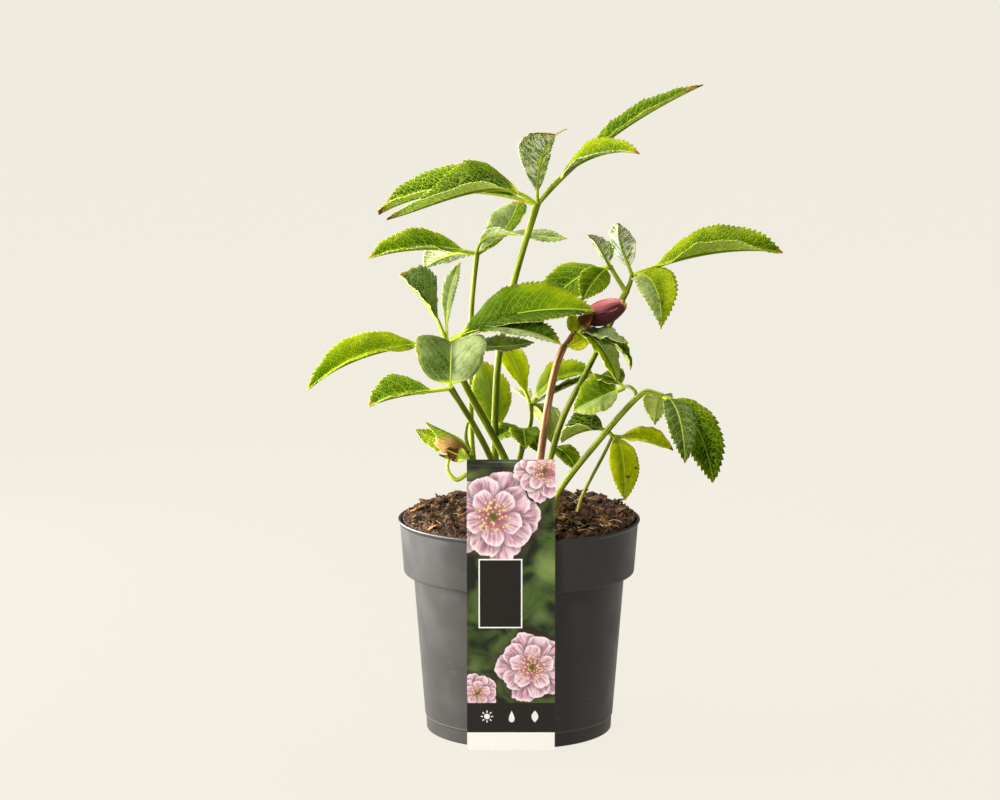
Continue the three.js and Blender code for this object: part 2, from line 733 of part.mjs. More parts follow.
place("pot", cut(potBody(), drains()), potPlastic);
place("soil", cut(soilBody(), [crownSolid(clearance), ...stemHoles, labelSlot()]), pottingMix);
place("crown", cut(crownSolid(0), stemHoles), rootBark);
place("label", labelSolid(), card);
for (const [name, body] of Object.entries(leafSolids)) place(name, body, leafGreen);
const stalkHole = stem(stalkPath, clearance);
place("flower_stalk", stem(stalkPath), stalkBrown);
place("flower_bud", cut(flowerBud, [stalkHole, bractSolid(clearance)]), budPurple);
place("flower_bracts", cut(bractSolid(0), [stalkHole]), youngGreen);
place("side_bud", cut(sideBud, [sideBractSolid(clearance)]), budPink);
place("side_bud_bracts", sideBractSolid(0), youngGreen);

export default plant;
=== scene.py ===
import math
import random

import bpy
from mathutils import Euler, Matrix, Vector, noise


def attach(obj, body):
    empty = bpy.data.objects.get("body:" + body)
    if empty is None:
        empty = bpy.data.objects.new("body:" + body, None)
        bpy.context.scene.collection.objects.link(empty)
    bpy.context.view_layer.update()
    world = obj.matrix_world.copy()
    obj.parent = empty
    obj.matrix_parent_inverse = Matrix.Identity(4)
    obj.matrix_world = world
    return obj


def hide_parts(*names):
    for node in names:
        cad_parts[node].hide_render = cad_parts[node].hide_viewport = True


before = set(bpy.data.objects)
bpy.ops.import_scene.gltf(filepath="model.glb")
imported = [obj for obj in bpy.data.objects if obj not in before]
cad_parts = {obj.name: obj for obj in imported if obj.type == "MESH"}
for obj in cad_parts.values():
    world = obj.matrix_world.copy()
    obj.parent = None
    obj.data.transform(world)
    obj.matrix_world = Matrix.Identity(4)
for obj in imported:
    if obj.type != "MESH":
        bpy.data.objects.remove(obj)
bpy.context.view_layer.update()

mm = 0.001
fullTurn = 2 * math.pi
looseTurn = 6.283  # a turn as the random draws take it
weldGap = 1e-6
print("frame loaded,", len(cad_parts), "nodes")


# mesh helpers

def lastAdded():
    return bpy.context.view_layer.objects.active


def selectOnly(*pieces):
    bpy.ops.object.select_all(action="DESELECT")
    for piece in pieces:
        piece.select_set(True)
    bpy.context.view_layer.objects.active = pieces[0]


def deletePieces(pieces):
    selectOnly(*pieces)
    bpy.ops.object.delete()


def joinPieces(pieces, name):
    selectOnly(*pieces)
    if len(pieces) > 1:
        bpy.ops.object.join()
    joined = lastAdded()
    joined.name = joined.data.name = name
    return joined


def applyModifiers(piece):
    selectOnly(piece)
    for modifier in list(piece.modifiers):
        bpy.ops.object.modifier_apply(modifier=modifier.name)


def thicken(piece, thickness, offset=-1, back=0):
    wall = piece.modifiers.new("thickness", "SOLIDIFY")
    wall.thickness, wall.offset = thickness, offset
    wall.material_offset = wall.material_offset_rim = back
    applyModifiers(piece)


def addGrid(columns, rows, size=1):
    bpy.ops.mesh.primitive_grid_add(x_subdivisions=columns, y_subdivisions=rows, size=size, location=(0, 0, 0))
    return lastAdded()


def startEdit():
    bpy.ops.object.mode_set(mode="EDIT")
    bpy.ops.mesh.select_all(action="SELECT")


def endEdit(turnOut=False):
    if turnOut:
        bpy.ops.mesh.select_all(action="SELECT")
        bpy.ops.mesh.normals_make_consistent(inside=False)
    bpy.ops.object.mode_set(mode="OBJECT")


def smoothShading(piece, degrees):
    selectOnly(piece)
    bpy.ops.object.shade_smooth_by_angle(angle=math.radians(degrees))


def smoothFaces(mesh):
    for face in mesh.polygons:
        face.use_smooth = True


def setMaterials(mesh, *materials):
    mesh.materials.clear()
    for material in materials:
        mesh.materials.append(material)


def writeFloats(mesh, **layers):
    # one value for every vertex, or a list with one for each
    for name, values in layers.items():
        if not isinstance(values, list):
            values = [values] * len(mesh.vertices)
        mesh.attributes.new(name, "FLOAT", "POINT").data.foreach_set("value", values)


def writeUv(mesh, places):
    flat = [n for loop in mesh.loops for n in places[loop.vertex_index]]
    mesh.uv_layers.active.data.foreach_set("uv", flat)


def curveMesh(points, radii=None, resolution=4):
    # a line through the points, or a tube where there are radii
    bpy.ops.curve.primitive_bezier_curve_add(location=(0, 0, 0))
    made = lastAdded()
    made.data.splines.clear()
    made.data.dimensions = "3D"
    spline = made.data.splines.new("POLY")
    spline.points.add(len(points) - 1)
    for i, place in enumerate(points):
        spline.points[i].co = (*place, 1.0)
        if radii:
            spline.points[i].radius = radii[i] / mm
    if radii:
        made.data.bevel_depth = mm
        made.data.bevel_resolution = resolution
        made.data.use_fill_caps = True
    selectOnly(made)
    bpy.ops.object.convert(target="MESH")
    return lastAdded()


def limit(value, low=0.0, high=1.0):
    return min(high, max(low, value))


def onRing(angle, radius):
    return math.cos(angle) * radius, math.sin(angle) * radius


def handOver(piece, slot, *nodes):
    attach(piece, "root")
    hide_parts(*nodes)


# shader helpers, which add to the tree and the shader that are being made

making = {}


class Wire:
    # one output of a node, to be reckoned with like a number
    def __init__(self, socket):
        self.socket = socket

    def __add__(self, other):
        return calc("ADD", self, other)

    def __sub__(self, other):
        return calc("SUBTRACT", self, other)

    def __rsub__(self, other):
        return calc("SUBTRACT", other, self)

    def __mul__(self, other):
        return calc("MULTIPLY", self, other)

    def __truediv__(self, other):
        return calc("DIVIDE", self, other)


def newNode(kind, sockets, **settings):
    tree = making["tree"]
    made = tree.nodes.new("ShaderNode" + kind)
    for key, value in settings.items():
        setattr(made, key, value)
    for key, value in sockets.items():
        if isinstance(value, Wire):
            tree.links.new(value.socket, made.inputs[key])
        else:
            made.inputs[key].default_value = value
    return made


def addNode(kind, sockets={}, output=0, **settings):
    return Wire(newNode(kind, sockets, **settings).outputs[output])


def calc(operation, a, b=0.0):
    return addNode("Math", {0: a, 1: b}, operation=operation)


def most(a, b):
    return calc("MAXIMUM", a, b)


def blend(factor, a, b):
    return addNode("Mix", {0: factor, 6: a, 7: b}, 2, data_type="RGBA")


def paint(colour, *coats):
    # each coat is a mask and the colour that it lays over the last
    for mask, coat in coats:
        colour = blend(mask, colour, coat)
    return colour


def remap(value, low, high, toLow=0.0, toHigh=1.0):
    sockets = {"Value": value, "From Min": low, "From Max": high, "To Min": toLow, "To Max": toHigh}
    return addNode("MapRange", sockets, interpolation_type="SMOOTHSTEP")


def fade(value, low, high, start=1.0):
    return remap(value, low, high, start, 0.0)


def cloud(place, scale, detail=3.0, roughness=0.5, distortion=0.0):
    sockets = {"Vector": place, "Scale": scale, "Detail": detail, "Roughness": roughness, "Distortion": distortion}
    return addNode("TexNoise", sockets, "Fac")


def stretched(place, scale):
    return addNode("Mapping", {"Vector": place, "Scale": scale})


def split(place):
    return [Wire(out) for out in newNode("SeparateXYZ", {0: place}).outputs]


def combine(x, y, z):
    return addNode("CombineXYZ", {0: x, 1: y, 2: z})


def attribute(name):
    return addNode("Attribute", output="Fac", attribute_name=name)


def objectPlace():
    return addNode("TexCoord", output="Object")


def sheetPlace():
    return addNode("UVMap", uv_map="UVMap")


def feed(socket, value):
    making["tree"].links.new(value.socket, making["shader"].inputs[socket])


def bump(height, strength, distance):
    feed("Normal", addNode("Bump", {"Height": height, "Strength": strength, "Distance": distance}))


def rgb(red, green, blue):
    return (red, green, blue, 1.0)


def newMaterial(name, roughness, specular, tint=(1, 1, 1), glow=0.0, coat=0.0, coatRoughness=0.1):
    made = bpy.data.materials.new(name)
    made.use_nodes = True
    shader = made.node_tree.nodes["Principled BSDF"]
    making.update(tree=made.node_tree, shader=shader)
    settings = {
        "Roughness": roughness, "Specular IOR Level": specular, "Specular Tint": rgb(*tint),
        "Coat Weight": coat, "Coat Roughness": coatRoughness,
        "Subsurface Weight": glow, "Subsurface Radius": (0.8, 1.0, 0.15), "Subsurface Scale": 1.6 * mm,
    }
    for socket, value in settings.items():
        shader.inputs[socket].default_value = value
    return made


def cloudedMaterial(name, first, second, scale, detail, span=(0.3, 0.7), share=1.0, **settings):
    # two colours in soft clouds
    made = newMaterial(name, **settings)
    patches = remap(cloud(objectPlace(), scale, detail), *span, 0.0, share)
    feed("Base Color", blend(patches, rgb(*first), rgb(*second)))
    return made


def openGroup(name, inputs, outputs):
    group = bpy.data.node_groups.new(name, "ShaderNodeTree")
    for way, sockets in (("INPUT", inputs), ("OUTPUT", outputs)):
        for title, kind in sockets.items():
            group.interface.new_socket(title, in_out=way, socket_type="NodeSocket" + kind)
    making["tree"] = group
    entry = group.nodes.new("NodeGroupInput")
    return group, {title: Wire(entry.outputs[title]) for title in inputs}


def closeGroup(group, results):
    leave = group.nodes.new("NodeGroupOutput")
    for title, value in results.items():
        group.links.new(value.socket, leave.inputs[title])
    return group


# leaf materials

def buildVeinGroup():
    # the veins from the blade's own map: x across from the midrib and y along, both in 100 mm
    lines = dict.fromkeys(("Veins", "Net", "Streaks", "Midrib", "Quilt"), "Float")
    group, given = openGroup("leafVeins", {"Map": "Vector", "Spacing": "Float"}, lines)
    x, y, _ = split(given["Map"])
    across = (x - 0.5) * 100.0
    along = y * 100.0
    away = calc("ABSOLUTE", across)
    place = combine(across, along, 0.0)
    wobble = (cloud(place, 0.22, 2.0) - 0.5) * 2.2
    slant = away * 0.72 + away * away * 0.02
    flip = calc("GREATER_THAN", across, 0.0) * 2.6
    turn = along - slant + wobble + flip
    wave = calc("PINGPONG", turn / given["Spacing"], 0.5)
    midrib = fade(away, 0.18, 0.5)
    bent = addNode("TexNoise", {"Vector": place, "Scale": 0.5, "Detail": 2.0}, "Color")
    bent = addNode("VectorMath", {0: bent, 1: (1.4, 1.4, 0.0)}, operation="MULTIPLY")
    bent = addNode("VectorMath", {0: place, 1: bent}, operation="ADD")
    cells = {"Vector": bent, "Scale": 0.5, "Randomness": 1.0}
    coarse = addNode("TexVoronoi", cells, "Distance", feature="DISTANCE_TO_EDGE")
    fibre = combine(turn * 1.1, away * 0.22, flip)
    return closeGroup(group, {
        "Veins": most(fade(wave, 0.0, 0.06) * 0.85, midrib),
        "Net": fade(coarse, 0.01, 0.085),
        "Streaks": cloud(fibre, 1.0, 3.0, 0.65, 0.6),
        "Midrib": midrib,
        "Quilt": remap(wave, 0.0, 0.35) * remap(coarse, 0.0, 0.4),
    })


veinGroup = buildVeinGroup()
leafLook = {
    "dark": rgb(0.012, 0.036, 0.0005),
    "mid": rgb(0.052, 0.1, 0.0003),
    "bright": rgb(0.2, 0.245, 0.0003),
    "gold": rgb(0.4, 0.4, 0.004),
    "vein": rgb(0.48, 0.58, 0.05),
    # the colour of the painted sheen on the upper side
    "silver": rgb(0.4, 0.45, 0.2),
    "stalk": rgb(0.4, 0.47, 0.012),
    "under": rgb(0.36, 0.45, 0.012),
    "underPale": rgb(0.62, 0.68, 0.2),
    "underVein": rgb(0.6, 0.66, 0.33),
    # the colour of the painted sheen on the underside
    "underSheen": rgb(0.68, 0.69, 0.54),
    "underShade": rgb(0.1, 0.15, 0.035),
    "brown": rgb(0.09, 0.03, 0.012),
    "rust": rgb(0.32, 0.16, 0.02),
    "spacing": 4.8,
    "surface": {"specular": 0.06, "tint": (0.85, 1.0, 0.05), "glow": 0.45},
}


def bladeVeins():
    made = newNode("Group", {"Map": sheetPlace(), "Spacing": leafLook["spacing"]}, node_tree=veinGroup)
    return {out.name: Wire(out) for out in made.outputs}


def finishBlade(colour, tip):
    # the stalk's colour at the foot, dead brown at the tip and in specks as the blade's values ask
    where = objectPlace()
    colour = blend(fade(tip, 0.0, 0.07, 0.85), colour, leafLook["stalk"])
    dead = tip + (cloud(where, 260.0, 3.0) - 0.5) * 0.22 - (1.02 - attribute("brown") * 0.16)
    specks = remap(cloud(where, 300.0, 2.0), 0.64, 0.68) * attribute("spots")
    colour = blend(remap(dead, -0.07, 0.0) * 0.7, colour, leafLook["rust"])
    feed("Base Color", blend(most(remap(dead, 0.0, 0.035), specks), colour, leafLook["brown"]))


def buildLeafTop():
    made = newMaterial("leafTop", roughness=0.48, **leafLook["surface"])
    dark, vein = leafLook["dark"], leafLook["vein"]
    veins, where = bladeVeins(), objectPlace()
    net, edge, tip = attribute("net"), attribute("edge"), attribute("tip")
    tone = attribute("tone") + (cloud(where, 42.0, 3.0, 0.5) - 0.5) * 1.5
    # painted shade: a little darker beside the lateral veins and lighter between them
    tone = tone + remap(edge, 0.1, 1.0, -0.2, 0.2) + remap(veins["Quilt"], 0.0, 1.0, -0.05, 0.05)
    colour = paint(
        dark,
        (remap(tone, 0.0, 0.5), leafLook["mid"]),
        (remap(tone, 0.45, 1.0), leafLook["bright"]),
        (remap(tone, 1.0, 1.5), leafLook["gold"]),
    )
    mottle = remap(cloud(where, 420.0, 2.0), 0.35, 0.7) * 0.35
    colour = blend(mottle, colour, blend(0.5, colour, dark))
    lines = most(veins["Veins"] * remap(net, 0.0, 0.4, 0.3, 0.9), veins["Net"] * net)
    colour = blend(lines, colour, blend(0.5, colour, vein))
    colour = blend(veins["Midrib"] * remap(tip, 0.3, 1.0, 0.65, 0.2), colour, vein)
    colour = blend(remap(edge, 0.955, 0.995, 0.0, 0.5), colour, leafLook["rust"])
    # painted sheen: silver laid over the green in patches and streaks, as much as the blade's value asks
    paintedSheen = attribute("grey") * remap(cloud(where, 110.0, 3.0), 0.3, 0.65, 0.35, 1.0)
    paintedSheen = calc("MINIMUM", paintedSheen * remap(veins["Streaks"], 0.36, 0.6, 0.5, 1.0), 0.6)
    finishBlade(blend(paintedSheen, colour, leafLook["silver"]), tip)
    feed("Roughness", remap(cloud(where, 90.0, 3.0), 0.3, 0.7, 0.38, 0.58))
    bump(veins["Quilt"] - veins["Veins"] * 0.8 - veins["Net"] * 0.3, 0.45, 0.0003)
    return made


def buildLeafUnder():
    made = newMaterial("leafUnder", roughness=0.6, **leafLook["surface"])
    veins, grey = bladeVeins(), attribute("grey")
    tone = attribute("tone") * 0.7 + cloud(objectPlace(), 60.0, 3.0) * 0.4
    colour = blend(remap(tone, 0.1, 1.0), leafLook["underPale"], leafLook["under"])
    lines = most(veins["Veins"] * 0.75, veins["Net"] * 0.35)
    colour = blend(lines * 0.6, colour, leafLook["underVein"])
    # painted sheen: the underside paled towards whitish grey, as much as the blade's value asks
    colour = blend(grey * 0.8, colour, leafLook["underSheen"])
    shaded = fade(veins["Streaks"], 0.4, 0.58) * remap(grey, 0.0, 1.5, 0.3, 0.95)
    finishBlade(blend(shaded, colour, leafLook["underShade"]), attribute("tip"))
    bump(veins["Veins"] * 1.0 + veins["Net"] * 0.4, 0.5, 0.0003)
    return made


def buildStemMaterial(name, light, dark, foot, footHeight, head=None, speckle=0.0, headReach=0.008):
    # streaks run with the stem, from the ring and run values that each tube carries
    made = newMaterial(name, roughness=0.38, specular=0.3, tint=(1.0, 0.9, 0.3))
    where = objectPlace()
    streaks = cloud(combine(attribute("ringX"), attribute("ringY"), attribute("run") * 22.0), 1.7, 4.0, 0.6)
    colour = blend(remap(streaks, 0.36, 0.62), dark, light)
    colour = blend(remap(cloud(where, 60.0, 3.0), 0.4, 0.7) * 0.5, colour, dark)
    colour = blend(remap(cloud(where, 900.0, 3.0), 0.5, 0.68, 0.0, speckle), colour, dark)
    if head:
        colour = blend(fade(attribute("rest"), headReach * 0.7, headReach, 0.8), colour, head)
    low = fade(split(where)[2], footHeight, footHeight + 0.02, 0.85)
    feed("Base Color", blend(low, colour, foot))
    bump(streaks, 0.5, 0.0005)
    return made


soilLine = 0.118
leafTopMaterial = buildLeafTop()
leafUnderMaterial = buildLeafUnder()
petioleMaterial = buildStemMaterial("petiole", rgb(0.24, 0.3, 0.012), rgb(0.06, 0.09, 0.004),
                                    rgb(0.5, 0.4, 0.1), soilLine)
ribMaterial = buildStemMaterial("leafRib", rgb(0.42, 0.5, 0.03), rgb(0.2, 0.3, 0.015), rgb(0.42, 0.5, 0.03), 0.0)
print("leaf materials made")


# leaves

bladeLook = {
    "thickness": 0.45 * mm,
    "columns": 12,
    "stalkRows": 6,
    "toothPitch": (1.5 * mm, 2.5 * mm),
    "toothDepth": 1.15 * mm,
    "toothReach": 1.1 * mm,
    "wave": 0.45 * mm,
    "quilt": 0.1 * mm,
    "ribRadius": 1.05 * mm,
    "ribSteps": 30,
    "slimmest": (0.75 * mm, 0.12 * mm),
}
# what a blade's plain numbers are, in their order
bladeShape = ("heading", "rise", "length", "width", "lift", "droop", "roll", "fold")
# some of these values paint light: a silver painted sheen, more of it on one half, and painted shade on one half
bladeDefaults = {
    "lift": 20, "droop": 20, "sway": 0, "roll": 0, "twist": 0, "flare": 0, "fold": 15, "stalk": 0.12,
    "fullest": 0.48, "power": 1, "reach": 1.0, "halfSide": 0, "halfShape": (0.48, 1, 1), "halfTone": 0.0,
    "teeth": 1.0, "wave": 1.0, "tone": 0.5, "ripe": 0.0, "grey": 0.0, "pale": 0.0, "paleFrom": 0.0,
    "brown": 0.2, "spots": 0.0, "spotSide": 0, "net": None,
}


def blade(*shape, **rest):
    return {**dict(zip(bladeShape, shape)), **rest}


def direction(heading, rise):
    h, r = math.radians(heading), math.radians(rise)
    return Vector((math.cos(r) * math.cos(h), math.cos(r) * math.sin(h), math.sin(r)))


def bladeOutline(b, fullest, power):
    b = limit(b)
    first = power * fullest / (1 - fullest)
    peak = fullest ** first * (1 - fullest) ** power
    return b ** first * (1 - b) ** power / peak


def bezierPoint(p, t):
    s = 1 - t
    return p[0] * s ** 3 + p[1] * 3 * s * s * t + p[2] * 3 * s * t * t + p[3] * t ** 3


def bezierSlope(p, t):
    s = 1 - t
    return ((p[1] - p[0]) * s * s + (p[2] - p[1]) * 2 * s * t + (p[3] - p[2]) * t * t).normalized()


def bladeSpine(at, s):
    base = Vector(at) * mm
    reach = s["length"] * mm
    tip = base + direction(s["heading"], s["rise"]) * reach
    return [
        base,
        base + direction(s["heading"] + s["sway"], s["rise"] + s["lift"]) * reach / 3,
        tip - direction(s["heading"] - s["sway"], s["rise"] - s["droop"]) * reach / 3,
        tip,
    ]


def bladeAxes(spine, s, t):
    level = direction(s["heading"], s["rise"] + 90)
    along = bezierSlope(spine, t)
    normal = (level - along * level.dot(along)).normalized()
    right = along.cross(normal)
    turn = math.radians(s["roll"] + s["twist"] * t + s["flare"] * t ** 6)
    up = normal * math.cos(turn) + right * math.sin(turn)
    out = right * math.cos(turn) - normal * math.sin(turn)
    return along, up, out


def makeTube(points, radii, material, resolution=4):
    mesh = curveMesh(points, radii, resolution).data
    setMaterials(mesh, material)
    smoothFaces(mesh)
    around = len(mesh.vertices) // len(points)
    runs = [0.0]
    for a, b in zip(points, points[1:]):
        runs.append(runs[-1] + (b - a).length)
    rings = [min(i // around, len(points) - 1) for i in range(len(mesh.vertices))]
    writeFloats(
        mesh,
        ringX=[math.cos(i % around / around * fullTurn) for i in range(len(rings))],
        ringY=[math.sin(i % around / around * fullTurn) for i in range(len(rings))],
        run=[runs[k] for k in rings],
        rest=[runs[-1] - runs[k] for k in rings],
    )
    return lastAdded()


def makeBlade(at, spec, seed):
    s = {**bladeDefaults, **spec}
    draw = random.Random(seed)
    length = s["length"] * mm
    spine = bladeSpine(at, s)
    stalk, stalkRows = s["stalk"], bladeLook["stalkRows"]
    fine, coarse = bladeLook["toothPitch"]
    pitch = min(coarse, max(fine, length / 20))
    teeth = max(6, round(length * (1 - stalk) / pitch))
    rows = stalkRows + 3 * teeth
    sheet = addGrid(bladeLook["columns"], rows)
    mesh = sheet.data
    jitter = [1 + 0.5 * (draw.random() - 0.5) for _ in range(2 * teeth + 4)]
    phase = [draw.random() * looseTurn for _ in range(4)]
    ripples = 2.2 + 1.6 * draw.random()
    uvs, edges, tips, sheens, tones, spots = [], [], [], [], [], []
    for vertex in mesh.vertices:
        side = limit(vertex.co.x * 2, -1.0)
        row = round((vertex.co.y + 0.5) * rows)
        b = max(0.0, (row - stalkRows) / (3 * teeth))
        t = row / stalkRows * stalk if row < stalkRows else stalk + b * (1 - stalk)
        along, up, out = bladeAxes(spine, s, min(1.0, t))
        special = side * s["halfSide"] > 0
        fullest, power, swell = s["halfShape"] if special else (s["fullest"], s["power"], 1.0)
        full = s["width"] / 2 * mm * bladeOutline(b / s["reach"], fullest, power) * swell
        half = max(full, bladeLook["slimmest"][0] * (1 - b) + bladeLook["slimmest"][1])
        forward = 0.0
        if row > stalkRows and b < 0.985 and abs(side) > 0.99:
            number = (row - stalkRows) // 3
            rise = ((row - stalkRows) % 3) / 2
            size = s["teeth"] * pitch / coarse * min(1.0, full / (5 * mm)) * jitter[number + (teeth if side > 0 else 0)]
            ready = limit((b - 0.16) / 0.14)
            half -= bladeLook["toothDepth"] * size * (1 - rise) * ready
            forward = bladeLook["toothReach"] * size * rise ** 2 * ready
        bend = math.radians(s["fold"] * min(1.0, 3 * b))
        x = abs(side) * half
        crown = 0.10 * half * math.sin(math.pi * abs(side)) * min(1.0, 3 * b)
        lateral = (t * length - 0.72 * x - 20 * x * x) / (leafLook["spacing"] * mm)
        quilt = bladeLook["quilt"] * (1 - math.cos(fullTurn * lateral)) * min(1.0, 3 * abs(side)) * min(1.0, 4 * b)
        sideways = 0 if side > 0 else 1
        ripple = math.sin(ripples * fullTurn * b + phase[sideways])
        ripple += 0.5 * math.sin(2.3 * ripples * fullTurn * b + phase[2 + sideways])
        wave = bladeLook["wave"] * s["wave"] * abs(side) ** 2 * ripple * min(1.0, full / (7 * mm))
        place = bezierPoint(spine, min(1.0, t))
        place = place + out * (math.copysign(x, side) * math.cos(bend))
        vertex.co = place + up * (x * math.sin(bend) + crown + quilt + wave) + along * forward
        uvs.append((0.5 + side * half / mm / 100, t * s["length"] / 100))
        edges.append(abs(side))
        tips.append(max(b, 0.45 + 0.53 * b if abs(side) > 0.9 and b > 0.1 else b))
        # painted sheen: one half gets more of it, from where along the blade its values ask
        extraSheen = abs(s["pale"]) * limit((b - s["paleFrom"]) * 4 + (s["paleFrom"] == 0))
        sheens.append(s["grey"] + (extraSheen if side * s["pale"] > 0.02 else 0.0))  # one half paler
        # painted shade: the special half is made darker where its value asks
        tones.append(s["tone"] + s["ripe"] * b + (s["halfTone"] if special else 0.0))
        spots.append(s["spots"] if side * s["spotSide"] >= 0 else 0.0)
    writeUv(mesh, uvs)
    net = s["net"] if s["net"] is not None else 0.65 - 0.6 * limit(s["tone"] - 0.1, high=0.8)
    writeFloats(mesh, edge=edges, tip=tips, grey=sheens, tone=tones, spots=spots, brown=s["brown"], net=net)
    setMaterials(mesh, leafTopMaterial, leafUnderMaterial)
    smoothFaces(mesh)
    thicken(sheet, bladeLook["thickness"], back=1)
    points, radii = [], []
    for i in range(bladeLook["ribSteps"] + 1):
        t = i / bladeLook["ribSteps"] * 0.97
        along, up, out = bladeAxes(spine, s, t)
        radius = bladeLook["ribRadius"] * (1 - t) ** 0.8 * min(1.0, s["width"] / 22) + 0.12 * mm
        points.append(bezierPoint(spine, t) - up * (bladeLook["thickness"] * 0.5 + radius * 0.62))
        radii.append(radius)
    return [sheet, makeTube(points, radii, ribMaterial, 2)]


def smoothPath(points, steps):
    # a curve through the points, the same as the solids' own stems follow
    places = [Vector(p) * mm for p in points]
    places = [places[0] * 2 - places[1]] + places + [places[-1] * 2 - places[-2]]
    knots = [0.0]
    for a, b in zip(places, places[1:]):
        knots.append(knots[-1] + max(1e-6, (b - a).length) ** 0.5)
    out = []
    segments = len(points) - 1
    for i in range(steps + 1):
        u = i / steps * segments
        n = min(segments - 1, int(u))
        k = knots[n:n + 4]
        p = places[n:n + 4]
        t = k[1] + (u - n) * (k[2] - k[1])

        def between(a, b, low, high):
            return a * ((k[high] - t) / (k[high] - k[low])) + b * ((t - k[low]) / (k[high] - k[low]))

        a1, a2, a3 = (between(p[j], p[j + 1], j, j + 1) for j in range(3))
        out.append(between(between(a1, a2, 0, 2), between(a2, a3, 1, 3), 1, 2))
    return out


def makeStem(path, thick, thin, material, steps=48, swell=0.0, neck=0.0):
    points = smoothPath(path, steps)
    radii = []
    for i in range(steps + 1):
        share = i / steps
        knot = swell * math.exp(-((1 - share) / 0.05) ** 2) + 0.25 * math.exp(-(share / 0.12) ** 2) * (swell > 0)
        slim = 1 - neck * limit((share - 0.7) / 0.05)
        radii.append((thick + (thin - thick) * share) * mm * (1 + knot) * slim)
    return makeTube(points, radii, material, 5)


